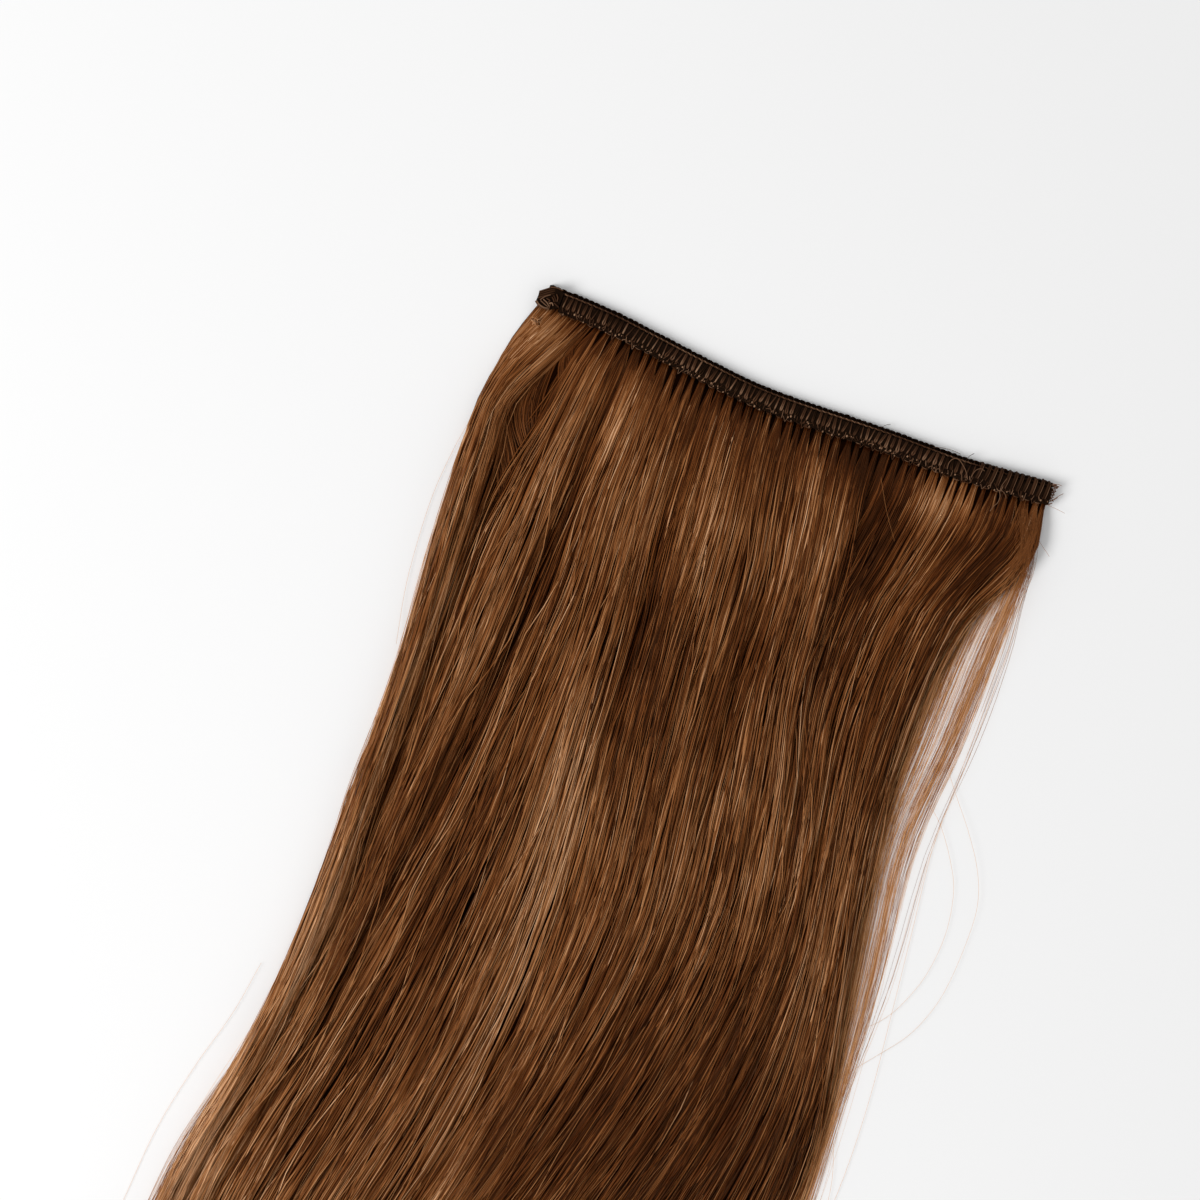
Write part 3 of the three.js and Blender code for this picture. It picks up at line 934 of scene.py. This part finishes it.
def fine_group(x, y, z, tone, size):
    """Fine hairs that thin out at the tip; size is each hair's share of the usual radius."""
    radius = FINE_RADIUS * size[:, None] * np.ones_like(x)
    radius[:, -len(FINE_TIP):] *= np.array(FINE_TIP)
    return strand_group(x, y, z, radius, tone)


def right_wisps():
    """See-through hair along the right edge: a thin veil with one denser strip in it."""
    count = WISP_COUNT
    short = rng.random(count)[:, None] < WISP_SHORT_SHARE
    length = np.where(short, each(50, 130, count), each(230, 350, count))
    drop = ROOT_START + (length - ROOT_START) * np.linspace(0, 1, WISP_RINGS) ** WISP_RING_POWER
    kind = rng.random(count)[:, None]
    inner = parting("dense_edge", drop)
    strip = parting("wisp_strip", drop)
    outer = parting("wisp_edge", drop)
    clump = rng.random(WISP_CLUMPS)[rng.integers(0, WISP_CLUMPS, count)]
    share = np.clip(clump + rng.normal(0, WISP_CLUMP_SPREAD, count), 0, 1)[:, None]
    near = np.where(kind < WISP_NEAR_LOCK, WISP_NEAR * share**WISP_NEAR_POWER, share)
    by_lock = mix(inner - WISP_INSET, strip, near)
    stray = np.clip(rng.standard_t(3, count), -STRIP_MOST, STRIP_MOST)
    in_strip = strip + STRIP_SPREAD * stray[:, None]
    far = np.where(kind < WISP_BY_EDGE, WISP_FAR * share**WISP_FAR_POWER, mix(0.85, 1.1, share))
    by_edge = mix(strip, outer, far)
    target = np.where(kind < WISP_BY_LOCK, by_lock, np.where(kind < WISP_IN_STRIP, in_strip, by_edge))
    root_x = each(67, 74.8, count)
    x = mix(root_x, target, ease(2, 24, drop))
    x += ease(20, 80, drop) * sway(np.arange(count), drop, *WISP_WAVE)
    x -= tuft_pull(root_x[:, 0], drop)[0]
    y = band_middle(root_x) - drop
    level = each(0.15, 1.3, count)
    over = rng.random(count)[:, None] < WISP_OVER_SHARE
    climb = mix(ROOT_LEVEL, np.where(over, WISP_CREST, ROOT_LEVEL), ease(3, 12, drop))
    z = mix(climb, level, ease(14, 56, drop))
    z += 0.2 * ease(20, 60, drop) * weave(np.arange(count), drop, *WISP_WEAVE)
    pale_from = np.where(over, WISP_PALE_FROM[1], WISP_PALE_FROM[0])
    paler = WISP_ROOT_TONE - 0.1 * ease(5, 10, drop)
    paler = paler + WISP_PALE * ease(0, WISP_PALE_RUN, drop - pale_from)
    tone = each(0.22, 0.9, count) * paler
    return fine_group(x, y, z, tone, rng.uniform(0.45, 1.05, count))


def edge_hairs(line, away_side, begins, reach):
    """Fine hairs that leave the body of the hair a little along one edge."""
    count = EDGE_COUNT
    begin = each(*begins, count)
    drop = begin + each(60, 140, count) * np.linspace(0, 1, EDGE_RINGS)
    drop = drop * np.minimum(1, EDGE_LAST / drop[:, -1:])
    run = (drop - begin) / (drop[:, -1:] - begin + EDGE_TAIL)
    out = np.sin(math.pi * run) * each(0.1, 1, count)
    x = parting(line, drop) + away_side * (reach * out - EDGE_INSET)
    x += sway(np.arange(count), drop, *EDGE_WAVE)
    y = band_middle(parting(line, 0.0)) - drop
    z = each(0.2, 1.6, count)
    tone = each(0.2, 0.9, count)
    return fine_group(x, y, z, tone, rng.uniform(0.55, 1.1, count))


def loose_hairs():
    """Single fine hairs that lie across the locks."""
    groups = []
    steps = np.linspace(0, 1, LOOSE_RINGS)
    for lock in LOCKS:
        count = LOOSE_HAIRS * lock.strands // LOOSE_STRANDS
        begin = each(12, 300, count)
        drop = begin + each(25, 95, count) * steps
        across = each(0.1, 0.9, count)
        drift = rng.normal(0, LOOSE_DRIFT, count)[:, None] * (drop - begin)
        start = parting(lock.start, drop)
        width = parting(lock.end, drop) - start
        place = np.clip(across + drift / width, LOOSE_MARGIN, 1 - LOOSE_MARGIN)
        x = start + width * place + sway(np.arange(count), drop, *LOOSE_WAVE)
        y = band_middle(root_place(lock, across)) - drop
        z = lock_top(lock, place, drop) - LOOSE_SINK + LOOSE_ARCH * np.sin(math.pi * steps)
        tone = each(0.35, 0.85, count) + LOOSE_PAINTED_LIGHT_SHARE * painted_light_and_shade(x, drop)
        groups.append(fine_group(x, y, z, tone, rng.uniform(0.8, 1.5, count)))
    return groups


def curve_through(points, rings):
    """Smooth curve through a few points."""
    points = np.asarray(points, float)
    at = np.linspace(0, len(points) - 1, rings)
    return np.stack([smooth(np.arange(len(points)), points[:, k], at) for k in range(3)], axis=-1)


def thread(groups, points, radius, tone, rings, sides=6):
    """Adds one thread through points; tone is one number or a value at each of a few even steps."""
    path = curve_through(points, rings)[None]
    tones = np.interp(np.linspace(0, 1, rings), np.linspace(0, 1, np.size(tone)), np.atleast_1d(tone))
    tones = np.clip(tones, *MAP_RANGE)[None]
    groups.append((path, np.full((1, rings), float(radius)), tones, sides, np.zeros(1)))


def on_band(rows):
    """Row-frame points of places given along the band, across it and above the floor."""
    x, across, level = np.asarray(rows, float).T
    turn = np.arctan(band_middle(x + 0.5) - band_middle(x - 0.5))
    return np.stack([x - across * np.sin(turn), band_middle(x) + across * np.cos(turn), level], axis=-1)


def bead(groups, x, across, size, tone):
    """Adds a small knot of thread, as a short round bead that lies across the band."""
    steps = np.linspace(-BEAD_REACH, BEAD_REACH, BEAD_RINGS)
    rows = [(x, across + size * step, BEAD_LEVEL) for step in steps]
    radius = BEAD_WIDTH * size * np.sqrt(1 - steps**2)
    tones = np.full((1, BEAD_RINGS), tone)
    groups.append((on_band(rows)[None], radius[None], tones, BEAD_RINGS, np.zeros(1)))


def wide_bar(groups, x):
    """Adds a broad dark bar over the whole band, with a thin paler thread along its right side as a
    painted highlight.
    """
    lean = rng.normal(0.42, 0.14)
    top = rng.normal(BACK_EDGE, 0.06)
    low = rng.normal(*WIDE_LOW)
    for side, radius, tones, rise in WIDE_PLIES:
        rows = [
            (x + side + lean, top, 1.2),
            (x + side + 0.85 * lean, top - 0.45, FRONT_BOTTOM),
            (x + side + 0.5 * lean, CORD_LINE, FRONT_TOP + 0.1 + rise),
            (x + side, mix(top, low, 0.65), FRONT_TOP + rise),
            (x + side - 0.7 * lean, low, FRONT_TOP - 0.1 + rise),
        ]
        thread(groups, on_band(rows), radius, tones + rng.normal(0, 0.06), BAR_RINGS)


def narrow_bar(groups, x):
    """Adds a bar across the front track: two plies that open towards the hair, or one."""
    top = rng.normal(FRONT_EDGE - 0.1, 0.08)
    low = rng.normal(*BAR_LOW)
    lean = rng.normal(0.14, 0.2)
    kind = rng.random()
    pale = rng.normal(0.04, 0.09) - 0.25 * (kind > 0.86)
    single = BAR_SINGLE[0] < kind < BAR_SINGLE[1]
    opening = 0.0 if single else rng.uniform(0.15, 0.36)
    radius = BAR_RADIUS * rng.uniform(0.8, 1.15)
    for ply in (0,) if single else (-1, 1):
        rows = [
            (x + lean + 0.16 * ply, top + 0.2, FRONT_TOP - 0.15),
            (x + 0.7 * lean + 0.19 * ply, top - 0.15, FRONT_TOP + 0.08),
            (x + 0.20 * ply, mix(top, low, 0.5), FRONT_TOP + 0.16),
            (x - 0.6 * lean + opening * ply, mix(top, low, 0.85), FRONT_TOP + 0.2),
            (x - lean + 0.08 * ply, low - 0.2, FRONT_TOP - 0.05),
        ]
        tones = BAR_TONES + pale + 0.03 * single + rng.normal(0, 0.04)
        thread(groups, on_band(rows), radius, tones, BAR_RINGS)


def stitch_bars():
    """Overcast bars along the band: narrow ones, and broad ones at the right."""
    groups = []
    x = FRONT_START + BAR_INSET
    while x < WIDE_BARS:
        narrow_bar(groups, x)
        x += rng.normal(*BAR_PITCH)
    while x < BAND_END - BAR_INSET:
        wide_bar(groups, x)
        x += rng.normal(*WIDE_PITCH)
    return groups


def chain_stitches():
    """A dark zigzag along the track's lower edge, with short uneven threads and pale beads over it."""
    groups = []
    rows = []
    for k, x in enumerate(np.arange(FRONT_START + 0.4, BAND_END - 0.3, TUFT_PITCH / 2)):
        across = mix(CHAIN_LOW, CHAIN_HIGH, k % 2) + rng.normal(0, CHAIN_JITTER)
        rows.append((x + rng.normal(0, CHAIN_JITTER), across, FRONT_TOP + 0.08))
    tones = rng.uniform(0.02, 0.25, len(rows))
    thread(groups, on_band(rows), CHAIN_RADIUS, tones, CHAIN_RINGS * len(rows), 5)
    x = FRONT_START + 0.6
    while x < BAND_END - 0.3:
        high = rng.normal(CHAIN_HIGH, 0.25)
        low = rng.normal(CHAIN_LOW, 0.35)
        lean = rng.normal(0.1, 0.5)
        middle = (x + 0.4 * lean, mix(high, low, 0.5), FRONT_TOP + 0.2)
        radius = rng.uniform(0.09, 0.15)
        tone = rng.uniform(0.25, 0.7)
        rows = [(x, high, FRONT_TOP + 0.05), middle, (x + lean, low, FRONT_TOP - 0.1)]
        thread(groups, on_band(rows), radius, tone, UNEVEN_RINGS, 5)
        if rng.random() < BRANCH_SHARE:
            branch = (x - 0.3 * lean - 0.4, mix(high, low, 0.8), FRONT_TOP + 0.12)
            rows = [middle, branch, (x - 0.6, low, FRONT_TOP - 0.1)]
            thread(groups, on_band(rows), radius, tone, UNEVEN_RINGS, 5)
        if rng.random() < BEAD_SHARE:
            place = (x + rng.normal(0, 0.4), rng.uniform(-3.4, -2.1))
            bead(groups, *place, rng.uniform(0.18, 0.36), rng.uniform(0.6, 0.99))
        x += rng.uniform(*UNEVEN_PITCH)
    return groups


def arch(middle, sides, across, levels, dip=0.0):
    """Five places of a thread that rises over a middle X and is the same on its left and right."""
    far, near = sides
    return [
        (middle - far, across[0], levels[0]),
        (middle - near, across[1], levels[1]),
        (middle + dip, across[2], levels[2]),
        (middle + near, across[1], levels[1]),
        (middle + far, across[0], levels[0]),
    ]


def tuft_bindings():
    """Threads that bind each tuft below the band, and V threads that run down between two tufts."""
    groups = []
    for x, gap in zip(tuft_middles, tuft_gaps[1:]):
        if FRONT_START + 1 < x < BAND_END - 1:
            drop = HAIR_EDGE - rng.uniform(0.0, 0.3)
            rows = arch(x, (0.95, 0.6), (drop + 0.35, drop, drop - 0.12), (1.9, 2.75, 3.0))
            thread(groups, on_band(rows), BIND_RADIUS, rng.uniform(0.3, 0.65), 11, 5)
        if FRONT_START + 4 < gap < BAND_END - 1 and rng.random() < BETWEEN_SHARE:
            deep = HAIR_EDGE - rng.uniform(0.5, 1.5)
            dip = rng.uniform(-0.25, 0.25)
            rows = arch(gap, (0.75, 0.4), (CHAIN_LOW + 0.2, HAIR_EDGE, deep), (3.4, 3.2, 2.5), dip)
            thread(groups, on_band(rows), BETWEEN_RADIUS, rng.uniform(0.25, 0.7), 13, 5)
    return groups


def rim_loops():
    """Dark rounded loops along the back track's outer edge, with a thin paler thread between two."""
    groups = []
    for i in range(int(BAND_LENGTH / RIM_PITCH)):
        x = -BAND_END + 0.9 + RIM_PITCH * i + rng.normal(0, 0.08)
        size = RIM_PITCH * rng.uniform(0.42, 0.52)
        out = BACK_EDGE - 0.08 + rng.normal(0, 0.05)
        rows = [
            (x - size, out - 0.32, 0.95),
            (x - 0.5 * size, out - 0.06, 1.15),
            (x + 0.1 * size, out, 1.2),
            (x + 0.6 * size, out - 0.06, 1.15),
            (x + size, out - 0.32, 0.95),
        ]
        tone = rng.uniform(0.03, 0.18) + 0.2 * (x > WIDE_BARS)
        thread(groups, on_band(rows), RIM_RADIUS, tone, 9)
        edge = x + 0.5 * RIM_PITCH
        if edge < BAND_END:
            rows = [
                (edge + 0.25, CORD_LINE + 0.15, 2.2),
                (edge + 0.1, mix(CORD_LINE, BACK_EDGE, 0.6), 1.6),
                (edge, BACK_EDGE - 0.1, 1.25),
            ]
            thread(groups, on_band(rows), RIM_THREAD, rng.uniform(0.15, 0.5), 6, 4)
    return groups


def twisted_cord():
    """The edge cord: two plies twisted round each other."""
    groups = []
    rings = int((BAND_END - FRONT_START) / CORD_RING)
    x = np.linspace(FRONT_START, BAND_END, rings)
    for ply in (0, 1):
        turn = FULL_TURN * (x - FRONT_START) / CORD_TWIST + math.pi * ply
        across = CORD_LINE + CORD_SHIFT + CORD_ORBIT * np.cos(turn)
        level = CORD_LEVEL + CORD_RISE + CORD_ORBIT * np.sin(turn)
        path = on_band(np.stack([x, across, level], axis=-1))[None]
        tone = 0.6 - 0.18 * ply + 0.1 * np.sin(x / 7.0)
        tone = tone + rng.normal(0, 0.04, rings) - 0.3 * ease(WIDE_BARS - 4, WIDE_BARS + 2, x)
        radius = np.full((1, rings), CORD_PLY)
        groups.append((path, radius, np.clip(tone, *MAP_RANGE)[None], 6, np.zeros(1)))
    return groups


def turned(right, up):
    """A step to the right and up in the camera's view, in the row frame."""
    c, s = math.cos(VIEW_TURN), math.sin(VIEW_TURN)
    return right * c - up * s, right * s + up * c


def in_view(right, up):
    """Place in the row frame of a point right of and above the knot's middle in the camera's view."""
    x, y = turned(right, up)
    return KNOT_MIDDLE[0] + x, KNOT_MIDDLE[1] + y


def fold_threads():
    """Threads woven across the turned-back left end, with the knot that holds it."""
    groups = []
    for i in range(FLAP_WEAVES):
        right = FLAP_START[0] + FLAP_STEP[0] * i
        up = FLAP_START[1] + FLAP_STEP[1] * i
        rows = [
            (*in_view(right + a * FLAP_RUN[0], up + b * FLAP_RUN[1]), FRONT_TOP + rise)
            for a, b, rise in FLAP_PATH
        ]
        tones = FLAP_TONES[i % 2] + rng.normal(0, 0.08, len(rows))
        thread(groups, rows, FLAP_RADIUS, tones, 14)
    for tone, places in KNOT_THREADS:
        lift, radius = (0.28, 0.17) if tone > KNOT_PALE_FROM else (0.16, 0.24)
        swells = np.sin(math.pi * np.linspace(0.1, 0.9, len(places)))
        rows = [(*in_view(*place), FRONT_TOP + lift * (0.4 + rise)) for place, rise in zip(places, swells)]
        thread(groups, rows, radius, tone, 4 * len(places))
    return groups


def fold_frizz():
    """Small tangled curls of hair just below the folded end, with near-black beads as painted shade in the
    holes between them.
    """
    groups = []
    for _ in range(FRIZZ_COUNT):
        right = rng.normal(FRIZZ_MIDDLE[0], FRIZZ_SPREAD[0])
        x, y = in_view(right, rng.normal(FRIZZ_MIDDLE[1], FRIZZ_SPREAD[1]))
        size = rng.uniform(0.15, 0.5)
        first = rng.uniform(0, FULL_TURN)
        turn = first + np.linspace(0, rng.uniform(0.4, 0.8) * FULL_TURN, FRIZZ_POINTS)
        level = FRIZZ_LEVEL + 0.3 * np.sin(turn) + rng.uniform(0, 0.4)
        rows = np.stack([x + size * np.cos(turn), y + 0.7 * size * np.sin(turn), level], axis=-1)
        thread(groups, rows, FRIZZ_RADIUS, rng.uniform(0.5, 0.95), 14, 4)
    for shadow_spot in FRIZZ_SHADOW_SPOTS:
        x, y = in_view(*shadow_spot)
        rows = [(x - 0.2, y + 0.2, 2.9), (x, y, 3.2), (x + 0.2, y - 0.2, 2.9)]
        thread(groups, rows, SHADOW_SPOT_RADIUS, SHADOW_SPOT_TONE, 8, 5)
    return groups


def stray_threads():
    """Loose threads that lie on the band and stubs that stand out of its top."""
    groups = []
    for radius, tone, rows in LOOSE_THREADS + TOP_STUBS:
        thread(groups, on_band(rows), radius, tone, 4 * len(rows) + 4)
    return groups


def flyaways():
    """Long single hairs away from the rest, and short dark ones at the band's cut right end."""
    groups = []
    for tone, points in FLYAWAYS:
        thread(groups, points, FLYAWAY_RADIUS, tone, 6 * len(points), 4)
    for radius, tone, rows in RIGHT_FRAY:
        thread(groups, on_band(rows), radius, tone, 4 * len(rows) + 4, 4)
    for _ in range(FUZZ_COUNT):
        across = rng.uniform(-3.2, 3.1)
        level = rng.uniform(0.5, 3.3)
        reach = rng.uniform(0.5, 1.6)
        rise = rng.normal(0, 0.5)
        rows = [
            (BAND_END - 0.4, across, level),
            (BAND_END - 0.2 + 0.5 * reach, across + 0.3 * rise, level + 0.15),
            (BAND_END - 0.1 + reach, across + rise, max(level - 0.2, 0.3)),
        ]
        thread(groups, on_band(rows), rng.uniform(0.06, 0.12), rng.uniform(0.0, 0.18), 7, 4)
    return groups


def set_inputs(node, values):
    """Sets inputs of a shader node by name."""
    for name, value in values.items():
        node.inputs[name].default_value = value


def new_node(nodes, kind, **settings):
    """Adds a shader node with the given settings."""
    node = nodes.new("ShaderNode" + kind)
    for name, value in settings.items():
        setattr(node, name, value)
    return node


def link_nodes(material, rows):
    """Links outputs of nodes to inputs of others."""
    for source, output, target, name in rows:
        material.node_tree.links.new(source.outputs[output], target.inputs[name])


def new_material(name, roughness, specular):
    """Plain material, with its nodes and shader."""
    material = bpy.data.materials.new(name)
    material.use_nodes = True
    nodes = material.node_tree.nodes
    shader = nodes["Principled BSDF"]
    set_inputs(shader, {"Roughness": roughness, "Specular IOR Level": specular})
    return material, nodes, shader


def colour_ramp(nodes, stops):
    """Ramp node through stops of position and colour."""
    ramp = new_node(nodes, "ValToRGB")
    elements = ramp.color_ramp.elements
    while len(elements) < len(stops):
        elements.new(0.5)
    for element, (position, colour) in zip(elements, stops):
        element.position = position
        element.color = (*colour, 1.0)
    return ramp


def strand_material(name, stops, along_stops, roughness, specular, tint):
    """Strands or threads: colour by tone across the map, a little paler or darker along it; for the hair
    the darker roots are a painted shadow of the band.
    """
    material, nodes, shader = new_material(name, roughness, specular)
    set_inputs(shader, {"Specular Tint": (*tint, 1.0)})
    uv = new_node(nodes, "UVMap", uv_map="Strand")
    split = new_node(nodes, "SeparateXYZ")
    ramp = colour_ramp(nodes, stops)
    along = colour_ramp(nodes, along_stops)
    blend = new_node(nodes, "Mix", data_type="RGBA", blend_type="MULTIPLY")
    set_inputs(blend, {"Factor": 1.0})
    link_nodes(material, [
        (uv, "UV", split, "Vector"),
        (split, "Y", ramp, "Fac"),
        (split, "X", along, "Fac"),
        (ramp, "Color", blend, "A"),
        (along, "Color", blend, "B"),
        (blend, "Result", shader, "Base Color"),
    ])
    return material


def track_material(name, stops, roughness, specular):
    """Close-set dark thread: fine ribs across the band, uneven in colour, with a bump."""
    material, nodes, shader = new_material(name, roughness, specular)
    place = new_node(nodes, "TexCoord")
    ribs = new_node(nodes, "TexWave", wave_type="BANDS", bands_direction="X")
    set_inputs(ribs, {"Scale": 900.0, "Distortion": 2.5, "Detail Scale": 2.0})
    uneven = new_node(nodes, "TexNoise")
    set_inputs(uneven, {"Scale": 700.0, "Detail": 4.0})
    both = new_node(nodes, "Math", operation="MULTIPLY")
    ramp = colour_ramp(nodes, stops)
    bump = new_node(nodes, "Bump")
    set_inputs(bump, {"Strength": 0.6, "Distance": 0.15 * MM})
    link_nodes(material, [
        (place, "Object", ribs, "Vector"),
        (place, "Object", uneven, "Vector"),
        (ribs, "Fac", both, 0),
        (uneven, "Fac", both, 1),
        (both, "Value", ramp, "Fac"),
        (ramp, "Color", shader, "Base Color"),
        (both, "Value", bump, "Height"),
        (bump, "Normal", shader, "Normal"),
    ])
    return material


def stage():
    """Pale paper floor."""
    half = FLOOR_HALF * MM
    corners = [(-half, -half, 0), (half, -half, 0), (half, half, 0), (-half, half, 0)]
    mesh = bpy.data.meshes.new("floor")
    mesh.from_pydata(corners, [], [(0, 1, 2, 3)])
    floor = new_object("floor", mesh)
    material, _, shader = new_material("floor_paper", roughness=0.9, specular=0.1)
    set_inputs(shader, {"Base Color": FLOOR_COLOUR})
    mesh.materials.append(material)


def light():
    """One soft round light from the left, and an even white surround."""
    right, down, up = KEY_PLACE
    x, y = turned(right, -down)
    target = Vector((VIEW_CENTRE[0] * MM, VIEW_CENTRE[1] * MM, 0))
    data = bpy.data.lights.new("key", "AREA")
    data.shape = "DISK"
    data.size = KEY_SIZE
    data.energy = KEY_POWER
    key = new_object("key", data)
    key.location = target + Vector((x, y, up))
    key.rotation_euler = (target - key.location).to_track_quat("-Z", "Y").to_euler()
    world = bpy.data.worlds.new("studio")
    bpy.context.scene.world = world
    world.use_nodes = True
    background = world.node_tree.nodes["Background"]
    set_inputs(background, {"Color": (1, 1, 1, 1), "Strength": WORLD_STRENGTH})
    bpy.context.scene.view_settings.view_transform = "Standard"


def camera():
    """Camera straight above the middle of the view."""
    data = bpy.data.cameras.new("camera")
    data.lens = LENS
    data.sensor_width = SENSOR
    data.sensor_fit = "HORIZONTAL"
    cam = new_object("camera", data)
    height = FRAME_WIDTH * LENS / SENSOR + HAIR_LEVEL
    cam.location = (VIEW_CENTRE[0] * MM, VIEW_CENTRE[1] * MM, height * MM)
    cam.rotation_euler = (0, 0, VIEW_TURN)
    bpy.context.scene.camera = cam


hair_material = strand_material("hair_strands", HAIR_STOPS, ROOT_SHADOW_ALONG_STOPS, 0.42, 0.23, GOLDEN)
fine_material = strand_material("hair_fine", FINE_THROUGH_LIGHT_STOPS, EVEN_STOPS, 0.5, 0.1, GOLDEN)
core_shade_material = strand_material("hair_inner_shade", CORE_SHADE_STOPS, EVEN_STOPS, 0.95, 0.0, GOLDEN)
thread_material = strand_material("band_thread", THREAD_STOPS, EVEN_STOPS, 0.7, 0.02, NEUTRAL)
ground_material = track_material("band_ground", GROUND_STOPS, 0.9, 0.03)

# Hair
inner_bodies = [core_lock(lock) for lock in LOCKS + [VALLEY]]
hair_pieces = [joined_mesh("hair_core", inner_bodies, core_shade_material)]
for number, lock in enumerate(LOCKS):
    rng = np.random.default_rng(SEED + number + 1)
    hair_pieces.append(tube_object(lock.piece, [comb_lock(lock)], hair_material))
rng = np.random.default_rng(FINE_SEED)
fine_groups = [right_wisps()] + [edge_hairs(*row) for row in EDGE_ROWS]
rng = np.random.default_rng(VALLEY_SEED)
hair_pieces.append(tube_object("hair_valley", [valley_strands()], hair_material))
rng = np.random.default_rng(LOOSE_SEED)
wisps = tube_object("hair_wisps", fine_groups, fine_material)
wisps.visible_shadow = False
hair_pieces.append(wisps)
hair_pieces.append(tube_object("hair_loose", loose_hairs() + fold_frizz(), hair_material))
hair_pieces.append(tube_object("hair_flyaways", flyaways(), fine_material))
for piece in hair_pieces:
    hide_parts("hair_fall")
    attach(piece, "root")

# Band
rng = np.random.default_rng(BAND_SEED)
band_pieces = {
    "stitch_bars": stitch_bars(),
    "chain_stitches": chain_stitches(),
    "tuft_bindings": tuft_bindings(),
    "rim_loops": rim_loops(),
    "fold_threads": fold_threads(),
    "stray_threads": stray_threads(),
}
for piece_name, groups in band_pieces.items():
    piece = tube_object(piece_name, groups, thread_material)
    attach(piece, "root")
cord = tube_object("twisted_cord", twisted_cord(), thread_material)
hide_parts("edge_cord")
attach(cord, "root")
for node in ("back_track", "front_track", "folded_end"):
    node_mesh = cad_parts[node].data
    node_mesh.materials.clear()
    node_mesh.materials.append(ground_material)

stage()
camera()
light()
